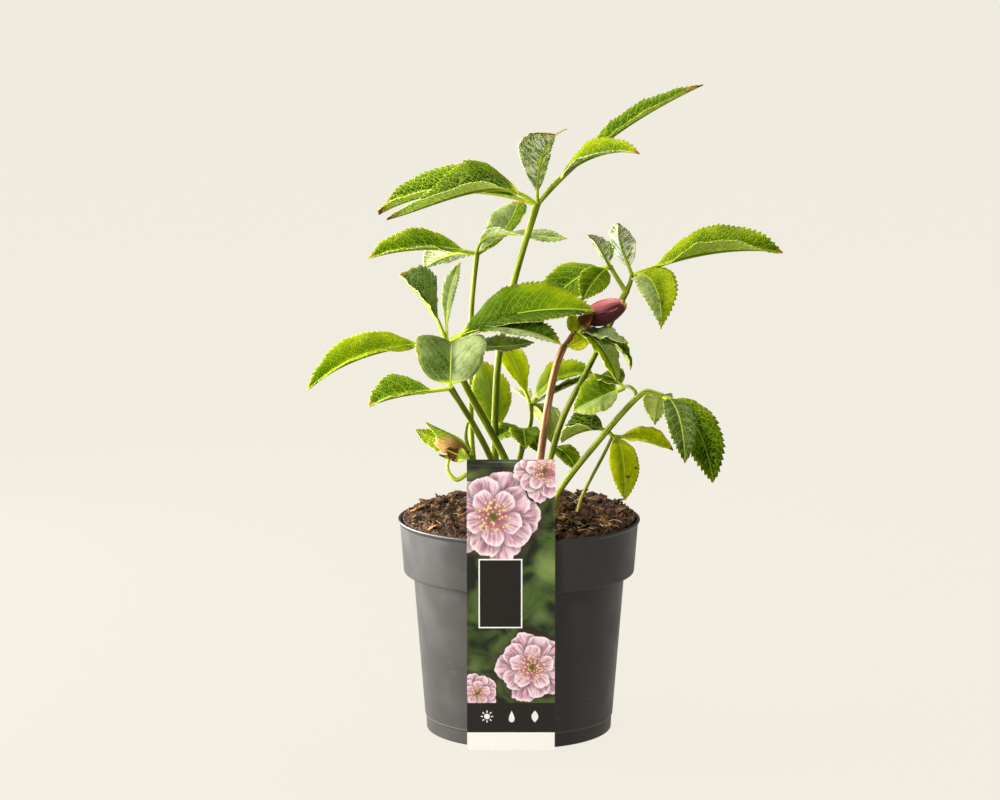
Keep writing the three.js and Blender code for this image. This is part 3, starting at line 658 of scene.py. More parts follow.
# for each leaf its stems, as path and two radii, and its blades
leaves = {
    "leaf_top": ([
        ([[-8, 4, 101], [-14, 7, 122], [-13.5, 7, 145], [-11, 4, 200], [-3, 2, 241], [9.4, 0, 284]], 2.2, 1.7),
    ], [
        blade(170, -5, 86, 32, 25, 28, -23, 34, tone=0.32, brown=0.5, halfSide=-1, halfShape=(0.72, 0.8, 1.2),
              net=0.7),
        blade(-162, -4, 83, 43, 50, 10, -18, 36, fullest=0.22, power=2.0, tone=0.3, brown=0.35, halfSide=-1,
              halfShape=(0.42, 0.5, 0.72), twist=14, stalk=0.16, net=0.55),
        blade(-68, 47, 58, 16, 20, 30, 8, sway=-28, twist=10, fullest=0.5, tone=0.3, grey=1.9, brown=1.2, halfSide=1,
              halfShape=(0.85, 0.2, 2.1), reach=0.82),
        blade(7, 35, 108, 18.5, 14, 12, 14, 32, stalk=0.28, tone=0.6, brown=0.6),
        blade(-25, 26, 65, 22, 34, 40, 24, 30, stalk=0.3, fullest=0.42, tone=0.85, brown=0.4, halfSide=1,
              halfShape=(0.2, 2.0, 1.0), pale=0.9, net=0.4),
    ]),
    "leaf_upper_left": ([
        ([[-13, 9, 101], [-21, 22, 122], [-25, 27, 145], [-26, 29, 184], [-25.5, 28, 224],
          [-22.6, 25, 255]], 1.6, 1.3),
    ], [
        blade(-170, -2, 59, 25, 16, 16, -23, 34, tone=0.55),
        blade(139, -17, 40, 22, 20, 20, 30, tone=0.1, grey=0.9),
        blade(-28, 11, 55, 15, 70, 6, -80, 10, twist=140, tone=0.15, grey=0.6),
        blade(49, 36, 42, 24, -14, -16, 0, 20, sway=-20, stalk=0.06, fullest=0.62, tone=0.1, power=0.6, pale=-0.5),
    ]),
    "leaf_left": ([
        ([[4, -6, 101], [2, -10, 122], [-7.5, -14, 149], [-29, -23, 191.5], [-38.2, -20.5, 213.4]], 2.3, 1.7),
    ], [
        blade(-169, -18, 78, 27, 18, 26, -23, 34, stalk=0.2, fullest=0.44, tone=0.82),
        blade(172, 54, 43, 29, 22, 14, -24, 36, stalk=0.2, fullest=0.7, tone=0.12, grey=0.3, net=0.3),
        blade(72, 60, 45, 9, 5, 10, 0, 20, sway=26, fullest=0.6, tone=0.5, grey=0.6),
        blade(-19, 13.6, 83.5, 35, 19, 18, 38, 24, fullest=0.46, tone=0.1, brown=0.1, halfSide=1,
              halfShape=(0.58, 0.9, 0.95), ripe=0.7, net=0.25, halfTone=-0.6),
        blade(-32, 3, 70, 32, 26, 26, 28, 28, tone=-0.9, ripe=1.1, net=0.2, halfSide=-1, halfShape=(0.55, 0.9, 0.62),
              pale=0.7, paleFrom=0.35),
        blade(16, -3, 48, 15, -12, -14, 30, 20, stalk=0.25, tone=0.2, grey=0.35),
    ]),
    "leaf_front_left": ([
        ([[-4, -11, 101], [-6, -22, 122], [-15, -38, 153.5], [-24, -51, 174], [-35.8, -70, 197]], 1.9, 1.5),
    ], [
        blade(180, -14, 43, 26, 4, 16, -23, 32, stalk=0.2, fullest=0.56, tone=0.5, brown=0.3),
        blade(89, 27, 38.5, 39, 24, 44, 0, 18, stalk=0.05, fullest=0.5, power=0.5, teeth=0.6, tone=0.12, grey=0.2,
              pale=0.66, brown=0, net=0.3),
    ]),
    "leaf_right": ([
        ([[7, 1, 101], [9, 2, 122], [16.5, 2, 146], [24, 2, 170], [35, 3, 191.5], [57, 5, 236.5]], 1.9, 1.5),
        ([[57, 5, 236], [52.5, 5, 243], [48.3, 5, 250]], 1.3, 1.2),
        ([[57, 5, 236], [59, 5, 241], [60, 5, 246]], 1.4, 1.2),
    ], [
        blade(-117, 35, 34, 11, 5, 20, 0, 25, on=1, tone=0.15, grey=1.1),
        blade(101, 18, 30, 11, 20, 20, 0, 25, on=1, tone=0.15),
        blade(-157, -30, 46, 28, 30, 20, -26, 10, on=1, tone=0.55),
        blade(-121, -27, 33, 17, 16, 16, -30, on=1, tone=0.55),
        blade(-115, 58, 34, 16, 10, 10, 0, 22, on=2, sway=-35, tone=0.8, grey=1.5),
        blade(0, 8, 81, 33, 14, 18, 10, 40, on=2, stalk=0.15, tone=0.95, flare=55, ripe=-0.5, net=0.5),
        blade(-66, -36, 43, 25, 50, 44, 10, 22, on=2, sway=40, fullest=0.36, power=1.25, tone=0.75, pale=0.75,
              spots=1, spotSide=-1, net=0.3),
    ]),
    "leaf_mid_back": ([([[0, 11, 101], [-1, 20, 122], [1, 26, 143], [6.5, 29, 162], [6.6, 30, 172]], 1.5, 1.2)], [
        blade(141, 58, 37, 19, 4, 10, -10, 8, fullest=0.62, tone=1.4),
        blade(-16, 26, 39, 25, 38, 44, 26, 22, fullest=0.36, tone=0.8),
        blade(-8, 25, 39, 12, 4, 4, 10, tone=0.3),
        blade(64, -39, 34, 18, 40, tone=0.1),
        blade(105, 2, 34, 10, tone=1.3, grey=1.2),
    ]),
    "leaf_behind_petiole": ([([[-7, 12, 101], [-11, 18, 122], [-12, 19, 143], [-12, 18, 157]], 1.4, 1.2)], [
        blade(144, 75, 41, 25, 0, 14, -26, 8, stalk=0.06, tone=1.3, pale=-0.35, grey=0.08),
    ]),
    "leaf_low_mid": ([([[1, 5, 101], [0, 8, 120], [0, 8, 145], [1, 8, 151], [1.6, 8, 162]], 1.2, 1.0)], [
        blade(-165, -22, 17, 16, 20, 20, -20, stalk=0.05, tone=0.6, net=0.5),
        blade(-47, -39, 19, 13, 20, 20, 20, stalk=0.05, tone=0.6),
        blade(-85, -20, 22, 17, 30, 40, stalk=0.05, tone=0.65, net=0.5),
    ]),
    "leaf_low_right": ([([[9, 9, 101], [13, 16, 122], [16, 20, 137], [18.5, 20, 150]], 1.2, 1.0)], [
        blade(-49, -30, 22, 13, 30, 30, 20, stalk=0.05, tone=0.8, brown=0.5),
        blade(102, 61, 24, 11, 0, 10, stalk=0.05, tone=1.2, grey=0.8),
    ]),
    "leaf_arched": ([
        ([[15, -5, 101], [18, -7, 116], [20, -8, 127.5], [42.5, -19, 160.5], [63, -28, 185.5], [67, -29.5, 188],
          [75, -32, 186]], 1.9, 1.3),
        ([[61, -27, 183], [61, -26, 187], [58, -23, 189.5], [55, -20, 189]], 1.0, 0.9),
    ], [
        blade(171, -27, 30, 35, 0, 6, -30, 12, on=1, fullest=0.4, tone=0.75, pale=-0.6),
        blade(119, 5, 25, 16, 20, 20, -20, on=1, tone=0.6),
        blade(93, -29, 45, 17, 30, 30, on=0, tone=0.3),
        blade(-35, -54, 53, 24, 54, 30, 30, 10, on=0, tone=0.5, net=0.7),
        blade(-75, -37, 48, 18, 44, 44, 0, 14, on=0, sway=12, tone=0.0, grey=0.12, net=0.4),
    ]),
    "leaf_spotted": ([([[18, 1, 101], [30, -3, 116], [34, -5, 128], [45.5, -8, 151.5], [50, -8, 161]], 1.0, 0.9)], [
        blade(-7, -13, 33, 17, 10, 12, 24, 30, teeth=0.2, tone=1.2, brown=0.6),
        blade(-72, -59, 37, 17, 40, 20, 0, 8, sway=14, stalk=0.06, teeth=0.5, tone=1.35, spots=1, spotSide=-1),
        blade(160, -11, 29.5, 26, 66, 34, -13, 36, stalk=0.25, tone=0.0),
    ]),
}


def makeLeaf(name, stems, blades, number):
    pieces = [makeStem(*stem, petioleMaterial, swell=0.2) for stem in stems]
    for i, spec in enumerate(blades):
        path = stems[spec.get("on", -1)][0]
        pieces += makeBlade(path[-1], spec, number * 31 + i * 7 + 3)
    handOver(joinPieces(pieces, name.replace("_", " ").title().replace(" ", "")), "leaf", name)


for number, (name, leaf) in enumerate(leaves.items()):
    makeLeaf(name, *leaf, number)
print("leaves made:", len(leaves))


# the pot

potLook = {
    # each corner's radius, height and fillet in mm
    "corners": [
        (0, 0, 0), (34, 0, 1), (36, 3, 1), (45.9, 3, 1), (47.2, 0, 0.6), (49.9, 0, 0.9), (50.1, 7.2, 0.2),
        (50.7, 8, 0.3), (56.7, 85.4, 0.4), (57.4, 86, 0.3), (61.9, 86, 0.9), (63.9, 112.6, 0.5), (64.5, 113.3, 0.5),
        (65, 114.1, 0.6), (64.8, 115, 0.4), (63.7, 115, 0.5), (62.9, 113.6, 0.6), (60.8, 87.5, 0.8),
        (54.8, 87.3, 0.8), (48.6, 9, 0.6), (48, 4.6, 0.6), (34.5, 4.6, 0.6), (32.5, 1.6, 0.6), (0, 1.6, 0),
    ],
    "segments": 192,
    "holes": 8,
    "holeRing": (34 + 49.9 - 2.5) / 2 * mm,
    "holeRadius": 3.5 * mm,
    "notches": 4,
    "notchRing": 47.9,
    "notchSize": (8 * mm, 7 * mm, 2.4 * mm),
    "plastic": rgb(0.034, 0.031, 0.028),
    "cloudy": rgb(0.046, 0.042, 0.038),
    # the scuffs' colour, also used for the painted highlight at the foot step
    "scuffAndHighlight": rgb(0.13, 0.12, 0.11),
    "dust": rgb(0.2, 0.16, 0.12),
    "worn": (-0.031, -0.043, 0.045),
}


def roundedProfile(corners, steps=4):
    # each fillet becomes a short arc
    points = []
    for i, (x, z, fillet) in enumerate(corners):
        here = Vector((x, z))
        if fillet <= 0 or i in (0, len(corners) - 1):
            points.append(here)
            continue
        before = Vector(corners[i - 1][:2]) - here
        after = Vector(corners[i + 1][:2]) - here
        reach = min(fillet, before.length * 0.45, after.length * 0.45)
        a = here + before.normalized() * reach
        b = here + after.normalized() * reach
        for k in range(steps + 1):
            t = k / steps
            points.append(a * (1 - t) ** 2 + here * 2 * t * (1 - t) + b * t * t)
    return points


def cutWith(piece, tool):
    cutter = piece.modifiers.new("cut", "BOOLEAN")
    cutter.operation = "DIFFERENCE"
    cutter.solver = "EXACT"
    cutter.object = tool
    applyModifiers(piece)
    deletePieces([tool])


def buildPotPlastic():
    made = newMaterial("potPlastic", roughness=0.36, specular=0.5)
    where = objectPlace()
    height = split(where)[2]
    colour = blend(remap(cloud(where, 28.0, 4.0), 0.3, 0.7, 0.0, 0.35), potLook["plastic"], potLook["cloudy"])
    scratch = cloud(stretched(where, (60.0, 60.0, 900.0)), 1.0, 2.0, 0.6, 1.5)
    worn = addNode("VectorMath", {0: where, 1: potLook["worn"]}, "Value", operation="DISTANCE")
    patch = most(remap(cloud(where, 22.0, 2.0), 0.55, 0.68), fade(worn, 0.006, 0.018))
    scuffs = remap(scratch, 0.64, 0.74) * patch
    colour = blend(scuffs * 0.8, colour, potLook["scuffAndHighlight"])
    # painted highlight: a light line along the step at the foot, in the scuffs' colour
    seamHighlight = remap(height, 0.0076, 0.008) * fade(height, 0.0084, 0.0088)
    colour = blend(seamHighlight * 0.45, colour, potLook["scuffAndHighlight"])
    dust = remap(cloud(where, 700.0, 2.0), 0.69, 0.75, 0.0, 0.5)
    feed("Base Color", blend(dust * remap(height, 0.0, 0.03, 0.7, 0.15), colour, potLook["dust"]))
    feed("Roughness", remap(cloud(where, 60.0, 3.0), 0.3, 0.7, 0.3, 0.42) + scuffs * 0.25)
    bump(cloud(where, 1500.0, 2.0), 0.12, 0.0002)
    return made


def makePot():
    pot = curveMesh([(x * mm, 0, z * mm) for x, z in roundedProfile(potLook["corners"])])
    startEdit()
    bpy.ops.mesh.spin(steps=potLook["segments"], angle=fullTurn, center=(0, 0, 0), axis=(0, 0, 1))
    bpy.ops.mesh.select_all(action="SELECT")
    bpy.ops.mesh.remove_doubles(threshold=weldGap)
    endEdit(turnOut=True)
    tools = []
    ring = potLook["holeRing"]
    for i in range(potLook["holes"]):
        angle = (i + 0.5) / potLook["holes"] * fullTurn
        bpy.ops.mesh.primitive_cylinder_add(vertices=32, radius=potLook["holeRadius"], depth=12 * mm,
                                            location=(*onRing(angle, ring), 4 * mm))
        tools.append(lastAdded())
    ring = potLook["notchRing"]
    for i in range(potLook["notches"]):
        angle = i / potLook["notches"] * fullTurn
        x, y = onRing(angle, ring)
        bpy.ops.mesh.primitive_cube_add(size=1, location=(x * mm, y * mm, 0), rotation=(0, 0, angle),
                                        scale=potLook["notchSize"])
        tools.append(lastAdded())
    cutWith(pot, joinPieces(tools, "potCutter"))
    pot.name = "nurseryPot"
    setMaterials(pot.data, buildPotPlastic())
    smoothShading(pot, 32)
    handOver(pot, "pot_plastic", "pot")


makePot()
print("pot made")


# the soil

soilLook = {
    "edgeRadius": 62.4 * mm,
    "edgeHeight": 116.2 * mm,
    "rise": 2.2 * mm,
    "backMound": 2.4 * mm,
    "grid": 150,
    "seed": 41,
    # the rings under the edge, as radius and height in mm
    "body": [(62.2, 113.8), (60.0, 88.9), (54.2, 87.8), (54.0, 86), (48.0, 12), (47.4, 5.2), (33, 5.2), (31, 2.1)],
    # how many, their sizes, their shades, and how far each stands out for its size
    "clods": (760, (0.7 * mm, 4.0 * mm), (0.0, 0.5), 0.2),
    "chips": (420, (0.8 * mm, 3.0 * mm), (0.2, 0.85), 0.35),
    "moss": (50, (0.4 * mm, 0.9 * mm), (0.86, 1.0), 0.6),
    "fibres": 240,
    "threadRadius": 0.2 * mm,
}


def soilHeight(x, y):
    # the soil's smooth top in metres, with its larger lumps
    share = min(1.0, math.hypot(x, y) / soilLook["edgeRadius"])
    a, b = x / mm, y / mm
    lumps = math.sin(0.31 * a + 1) * math.cos(0.27 * b) + 0.7 * math.sin(0.73 * a - 0.58 * b + 2)
    back = max(0.0, y / soilLook["edgeRadius"] + 0.25 * x / soilLook["edgeRadius"])
    mound = soilLook["backMound"] * min(1.0, 1.5 * back) * (1 - 0.25 * share ** 6)
    return soilLook["edgeHeight"] + soilLook["rise"] * (1 - share ** 2) + mound + 0.8 * mm * lumps * (1 - share ** 4)


def soilSurface(x, y):
    spot = Vector((x, y, 0)) / mm
    cells = noise.voronoi(spot * 0.34)[0]
    crumbs = (cells[1] - cells[0]) * 1.6
    small = noise.voronoi(spot * 0.85)[0]
    crumbs += (small[1] - small[0]) * 0.7
    crumbs += noise.fractal(spot * 0.5, 0.9, 2.1, 4) * 0.7
    return soilHeight(x, y) + (1.6 * crumbs - 1.5) * mm


def buildSoil():
    made = newMaterial("pottingMix", roughness=0.85, specular=0.25)
    where, shade = objectPlace(), attribute("shade")
    feed("Base Color", paint(
        rgb(0.006, 0.003, 0.0015),
        (remap(cloud(where, 260.0, 4.0), 0.3, 0.7), rgb(0.1, 0.047, 0.021)),
        (remap(shade, 0.35, 0.8), rgb(0.27, 0.14, 0.05)),
        (remap(shade, 0.85, 0.9), rgb(0.34, 0.3, 0.045)),
        (remap(cloud(where, 1300.0, 2.0), 0.66, 0.72, 0.0, 0.5), rgb(0.32, 0.2, 0.11)),
    ))
    bump(cloud(where, 900.0, 4.0), 0.8, 0.0008)
    return made


fibreMaterial = cloudedMaterial("soilFibre", (0.3, 0.17, 0.07), (0.62, 0.5, 0.3), 120.0, 2.0, (0.35, 0.65),
                                roughness=0.7, specular=0.3)


def makeCrumb(draw, kind):
    # one rough lump: a clod, or a flat splintered chip
    bpy.ops.mesh.primitive_ico_sphere_add(subdivisions=2, radius=1, location=(0, 0, 0))
    crumb = lastAdded()
    offset = Vector((draw.random() * 90, draw.random() * 90, draw.random() * 90))
    stretch = Vector((1, 0.8, 0.7)) if kind == "clod" else Vector((draw.uniform(1.4, 2.3), 0.85, 0.34))
    for vertex in crumb.data.vertices:
        bulge = 1 + 0.55 * noise.noise(vertex.co * 1.5 + offset) + 0.4 * noise.noise(vertex.co * 3.3 + offset)
        vertex.co = Vector(a * b for a, b in zip(vertex.co * bulge, stretch))
    crumb.name = kind
    return crumb


def makeThread(draw):
    # a bowed strand about 7 mm long
    bow, hump = draw.uniform(-1.2, 1.2), draw.uniform(0.3, 1.2)
    points = []
    for t in (k / 7 for k in range(8)):
        points.append(Vector(((t - 0.5) * 7, bow * math.sin(3 * t), hump * math.sin(math.pi * t))) * mm)
    radii = [soilLook["threadRadius"] * (1 - 0.5 * k / 7) for k in range(8)]
    return makeTube(points, radii, fibreMaterial, 1)


def pick(models, draw):
    return models[int(draw.random() * len(models)) % len(models)]


def tilted(draw, a, b):
    return Euler((draw.uniform(-a, a), draw.uniform(-b, b), draw.random() * looseTurn)).to_matrix().to_4x4()


def addCopy(name, mesh):
    made = bpy.data.objects.new(name, mesh)
    bpy.context.collection.objects.link(made)
    return made


def scatterCrumbs(models, draw, material, count, size, shades, sink):
    placed = []
    for _ in range(count):
        reach = math.sqrt(draw.random())
        angle = draw.random() * fullTurn
        scale = size[0] + (size[1] - size[0]) * draw.random() ** 2.2
        radius = (soilLook["edgeRadius"] - 1.1 * scale) * reach
        x, y = onRing(angle, radius)
        model = pick(models, draw)
        mesh = model.data.copy()
        turn = tilted(draw, 0.7, 0.7)
        top = soilSurface(x, y) + scale * sink
        mesh.transform(Matrix.Translation((x, y, top)) @ turn @ Matrix.Scale(scale, 4))
        writeFloats(mesh, shade=draw.uniform(*shades))
        setMaterials(mesh, material)
        placed.append(addCopy(model.name, mesh))
    return placed


def scatterFibres(threads, draw):
    placed = []
    edge = soilLook["edgeRadius"]
    for _ in range(soilLook["fibres"]):
        radius = edge * 0.93 * math.sqrt(draw.random())
        angle = draw.random() * looseTurn
        x, y = onRing(angle, radius)
        mesh = pick(threads, draw).data.copy()
        place = Matrix.Translation((x, y, soilSurface(x, y) + 0.9 * mm)) @ tilted(draw, 0.5, 0.25)
        mesh.transform(place @ Matrix.Scale(draw.uniform(0.6, 1.3), 4))
        if max(math.hypot(v.co.x, v.co.y) for v in mesh.vertices) < edge * 0.99:
            placed.append(addCopy("fibre", mesh))
    return placed


def makeSoil():
    draw = random.Random(soilLook["seed"])
    top = addGrid(soilLook["grid"], soilLook["grid"], 2)
    top.name = "pottingSoil"
    edge = soilLook["edgeRadius"]
    for vertex in top.data.vertices:
        u, v = vertex.co.x, vertex.co.y
        x = u * math.sqrt(1 - v * v / 2) * edge
        y = v * math.sqrt(1 - u * u / 2) * edge
        vertex.co = (x, y, soilSurface(x, y))
    startEdit()
    bpy.ops.mesh.region_to_loop()
    for radius, height in soilLook["body"]:
        bpy.ops.mesh.extrude_region_move()
        bpy.ops.object.mode_set(mode="OBJECT")
        for vertex in top.data.vertices:
            if vertex.select:
                flat = Vector((vertex.co.x, vertex.co.y, 0)).normalized() * radius * mm
                vertex.co = (flat.x, flat.y, height * mm)
        bpy.ops.object.mode_set(mode="EDIT")
    bpy.ops.mesh.edge_face_add()
    endEdit(turnOut=True)
    material = buildSoil()
    setMaterials(top.data, material)
    for face in top.data.polygons:
        face.use_smooth = len(face.vertices) <= 4
    writeFloats(top.data, shade=[max(0.0, 0.45 * noise.noise(v.co / mm * 0.21) + 0.25) for v in top.data.vertices])
    clods = [makeCrumb(draw, "clod") for _ in range(7)]
    chips = [makeCrumb(draw, "chip") for _ in range(6)]
    threads = [makeThread(draw) for _ in range(7)]
    pieces = [top]
    for models, kind in ((clods, "clods"), (chips, "chips"), (clods, "moss")):
        pieces += scatterCrumbs(models, draw, material, *soilLook[kind])
    pieces += scatterFibres(threads, draw)
    deletePieces(clods + chips + threads)
    handOver(joinPieces(pieces, "pottingSoil"), "soil", "soil")


makeSoil()
print("soil made")


# the bud, its stalk and bracts

budLook = {
    "base": (34, -32, 226.2),
    "tip": (55.8, -34, 235.3),
    "radius": 6.8,
    "sepals": 5,
    "halfSpan": 74,
    "purple": rgb(0.04, 0.004, 0.01),
    "pink": rgb(0.5, 0.13, 0.13),
    "rim": rgb(0.68, 0.42, 0.13),
}


def makeSepals(look, turn, material, rows=26, columns=22):
    base, tip = Vector(look["base"]) * mm, Vector(look["tip"]) * mm
    axis = tip - base
    lean = Vector((0, 0, 1)).rotation_difference(axis.normalized())
    length, radius = axis.length, look["radius"] * mm
    sheets = []
    for number in range(look["sepals"]):
        sepal = addGrid(columns, rows)
        mesh = sepal.data
        edges, tips, sides, blush = [], [], [], []
        end = 1 - 0.05 * ((number * 2) % look["sepals"]) / look["sepals"]
        for vertex in mesh.vertices:
            side, along = vertex.co.x * 2, vertex.co.y + 0.5
            t = along * end
            bulge = math.sin(math.pi * (0.06 + 0.915 * t ** 0.95)) ** 0.6
            span = math.radians(look["halfSpan"]) * (1 - 0.25 * along ** 6)
            angle = turn + number / look["sepals"] * fullTurn + side * span + 0.5 * along
            lap = 0.97 + 0.035 * side + 0.01 * abs(side) ** 4
            shrink = bulge * radius * lap - 0.1 * mm
            flare = 0.12 * mm * max(0.0, along - 0.8) * 5 * abs(side) ** 2
            ring = max(0.25 * mm, shrink + flare)
            spot = Vector((*onRing(angle, ring), t * length * (1 - 0.03 * side ** 2)))
            vertex.co = lean @ spot + base
            # painted light: how far each point faces up, which the sepal material paints lighter and pinker
            blush.append(max(0.0, (vertex.co - base - axis * t).normalized().z))
            edges.append(abs(side))
            tips.append(along)
            sides.append(side)
        writeFloats(mesh, edge=edges, tip=tips, blush=blush)
        writeUv(mesh, [(0.5 + 0.5 * a, b) for a, b in zip(sides, tips)])
        setMaterials(mesh, material)
        smoothFaces(mesh)
        thicken(sepal, 0.3 * mm)
        sheets.append(sepal)
    bpy.ops.mesh.primitive_uv_sphere_add(segments=24, ring_count=14, radius=1, location=(0, 0, 0))
    core = lastAdded()
    for vertex in core.data.vertices:
        t = limit(vertex.co.z / 2 + 0.5)
        ring = max(1e-6, math.hypot(vertex.co.x, vertex.co.y))
        bulge = math.sin(math.pi * (0.03 + 0.9 * t ** 0.88)) ** 0.8 * radius * 0.8
        wide = 0 if ring < 1e-4 else bulge / ring
        vertex.co = lean @ Vector((vertex.co.x * wide, vertex.co.y * wide, length * (0.03 + 0.9 * t))) + base
    setMaterials(core.data, material)
    smoothFaces(core.data)
    return sheets + [core]


def buildSepal(name, dark, light, rim, streakiness, darkFoot=(0.0, 0.35), blushed=(0.06, 0.95)):
    made = newMaterial(name, roughness=0.42, specular=0.35, tint=(1.0, 0.6, 0.55))
    tip, edge = attribute("tip"), attribute("edge")
    streaks = cloud(stretched(sheetPlace(), (22.0, 1.6, 1.0)), 1.0, 4.0, 0.6)
    # painted light: the upper side, where the light falls, is painted pinker and lighter, and the streaks thin out
    # towards it
    paintedLightAndStreaks = remap(attribute("blush"), 0.1, 1.0, *blushed) + (streaks - 0.5) * streakiness
    colour = blend(paintedLightAndStreaks * remap(tip, *darkFoot, 0.15, 1.0), dark, light)
    colour = blend(remap(cloud(objectPlace(), 700.0, 2.0), 0.55, 0.75, 0.0, 0.35), colour, dark)
    rimMask = most(remap(edge, 0.86, 0.98) * remap(tip, 0.5, 0.85), remap(tip, 0.92, 0.99))
    feed("Base Color", blend(rimMask * 0.85, colour, rim))
    bump(streaks, 0.4, 0.0004)
    return made


stalkMaterial = buildStemMaterial("flowerStalk", rgb(0.6, 0.33, 0.15), rgb(0.13, 0.048, 0.02),
                                  rgb(0.3, 0.22, 0.06), soilLine, rgb(0.13, 0.045, 0.02), 0.6, 0.019)

flowerStalk = {
    "path": [[9, -13, 101], [8.5, -23, 124], [11, -28, 152], [17.5, -31, 194.5], [22, -32, 209.5],
             [27.5, -32, 218.5], [34, -32, 225.5]],
    "thick": 2.3, "thin": 1.7, "steps": 60, "swell": 0.12, "neck": 0.45,
}
collar = [[24.6, -32, 214], [28, -32, 219], [32.5, -32, 224.2]]
bractDefaults = {"stalk": 0.04, "teeth": 0.3, "wave": 1.6, "brown": 0.3}
bracts = [
    blade(90, 86, 11.5, 6.5, 0, 0, at=[27.6, -35, 219.5], power=0.7, tone=1.35, spots=1),
    blade(-30, 46, 13.5, 10, -8, -4, 80, 30, at=[30, -36.5, 221], tone=0.1, spots=1, brown=4.4),
    blade(-6, 30, 14.5, 10, -26, -20, 62, 10, at=[24.8, -33.5, 212.8], tone=1.45, brown=0.4),
    blade(-14, -12, 28, 12.5, 12, 6, 20, at=[30, -33, 221], teeth=1.1, wave=3, tone=0.7, grey=1.2, spots=0.5,
          brown=0.2),
    blade(8, 22, 7, 3.2, 50, 70, 10, at=[31, -38.5, 220.6], tone=1.6, grey=0.6),
    blade(-25, -48, 34.5, 15, 46, 30, 16, 12, at=[30, -33, 220.5], tone=0.7, pale=-0.45, net=0.5),
    blade(8, -38, 35, 13, 34, 46, 24, 26, at=[31, -33, 221], tone=0.5),
]


def makeBracts(specs, seed, at=None):
    pieces = []
    for i, spec in enumerate(specs):
        pieces += makeBlade(spec.get("at", at), {**bractDefaults, **spec}, seed + i)
    return pieces


def makeFlower():
    stalk = makeStem(material=stalkMaterial, **flowerStalk)
    stalk.name = "flowerStalk"
    handOver(stalk, "flower_stalk", "flower_stalk")
    purple = buildSepal("budSepal", budLook["purple"], budLook["pink"], budLook["rim"], 0.9)
    bud = joinPieces(makeSepals(budLook, 0.6, purple), "closedBud")
    handOver(bud, "flower_bud", "flower_bud")
    pieces = [makeStem(collar, 1.35, 1.15, stalkMaterial, 16)] + makeBracts(bracts, 900)
    handOver(joinPieces(pieces, "flowerBracts"), "bract", "flower_bracts")


makeFlower()

sideBudLook = {
    "base": (-27.4, -45.5, 158),
    "tip": (-44.6, -49, 166),
    "radius": 4.9,
    "sepals": 3,
    "halfSpan": 80,
    "olive": rgb(0.15, 0.09, 0.012),
    "pink": rgb(0.66, 0.34, 0.13),
    "rim": rgb(0.5, 0.45, 0.06),
    "bractsAt": [-25.5, -44.5, 156.8],
}
sideStems = [
    ([[-11, -8, 101], [-17, -22, 120], [-21, -38, 143], [-25.5, -44.5, 157]], 1.8, 1.9, petioleMaterial),
    ([[-27, -46, 159], [-35, -46, 158], [-37.5, -48, 150], [-33, -48.5, 144.5], [-27.5, -46, 147]], 0.5, 1.3,
     ribMaterial),
    ([[-25.5, -44, 157], [-28, -42, 166], [-27, -42, 173.5], [-25, -43, 175.5]], 1.0, 0.7, petioleMaterial),
]
sideBlades = [
    blade(-173, 37, 29.5, 14, 30, 4, 180, 34, tone=0.8),
    blade(172, 24, 32, 13, 20, -6, 120, 24, tone=1.45),
    blade(-165, 4, 17, 9, -30, -30, 10, 22, tone=1.2, brown=1.2),
    blade(-172, 22, 13, 11, -6, -4, 90, 34, at=[-26.5, -51.4, 156.6], sway=10, tone=0.9, brown=3.6),
]


def makeSideBud():
    look = sideBudLook
    # the last pair sets how strongly the upper side is painted lighter, as painted light
    pink = buildSepal("sideSepal", look["olive"], look["pink"], look["rim"], 2.2, (0.4, 0.75), (0.7, 1.0))
    bud = joinPieces(makeSepals(look, 1.0, pink, 18, 18), "sideBud")
    handOver(bud, "side_bud", "side_bud")
    pieces = [makeStem(*stem, 40) for stem in sideStems] + makeBracts(sideBlades, 950, look["bractsAt"])
    handOver(joinPieces(pieces, "sideBudBracts"), "bract", "side_bud_bracts")


makeSideBud()
print("buds made")


# the crown, which stays the solid's own

def dressCrown():
    bark = cloudedMaterial("crownBark", (0.03, 0.015, 0.008), (0.13, 0.075, 0.035), 160.0, 4.0,
                           roughness=0.9, specular=0.2)
    bump(cloud(objectPlace(), 160.0, 4.0), 0.7, 0.001)
    for slot in bpy.data.objects["crown"].material_slots:
        slot.material = bark


dressCrown()


# the stick label

labelLook = {
    "width": 45.7, "top": 157.6, "foot": 4.0, "thickness": 0.8, "x": -4.5, "front": -66.2,
    "fold": 4.2, "corner": 1.2, "tongue": 20.0, "tongueFoot": 92.0,
    "panel": (0.13, 0.425, 0.5, 0.24), "panelEdge": 0.0045, "softEdge": 0.0008,
    "band": (0.062, 0.165),
    "blossoms": [(0.3, 0.81, 0.16, 0.2), (0.88, 0.965, 0.105, 0.9), (0.74, 0.29, 0.125, 0.5), (0.12, 0.2, 0.07, 0.1)],
    # each ring of petals: its size and its turn
    "petals": ((1.0, 0.0), (0.88, 0.5), (0.62, 0.27)),
    "signs": {"height": 0.118, "sun": -12.5, "drop": 0.4, "leaf": 12.5, "ink": 0.05},
}
labelHeight = labelLook["top"] - labelLook["foot"]


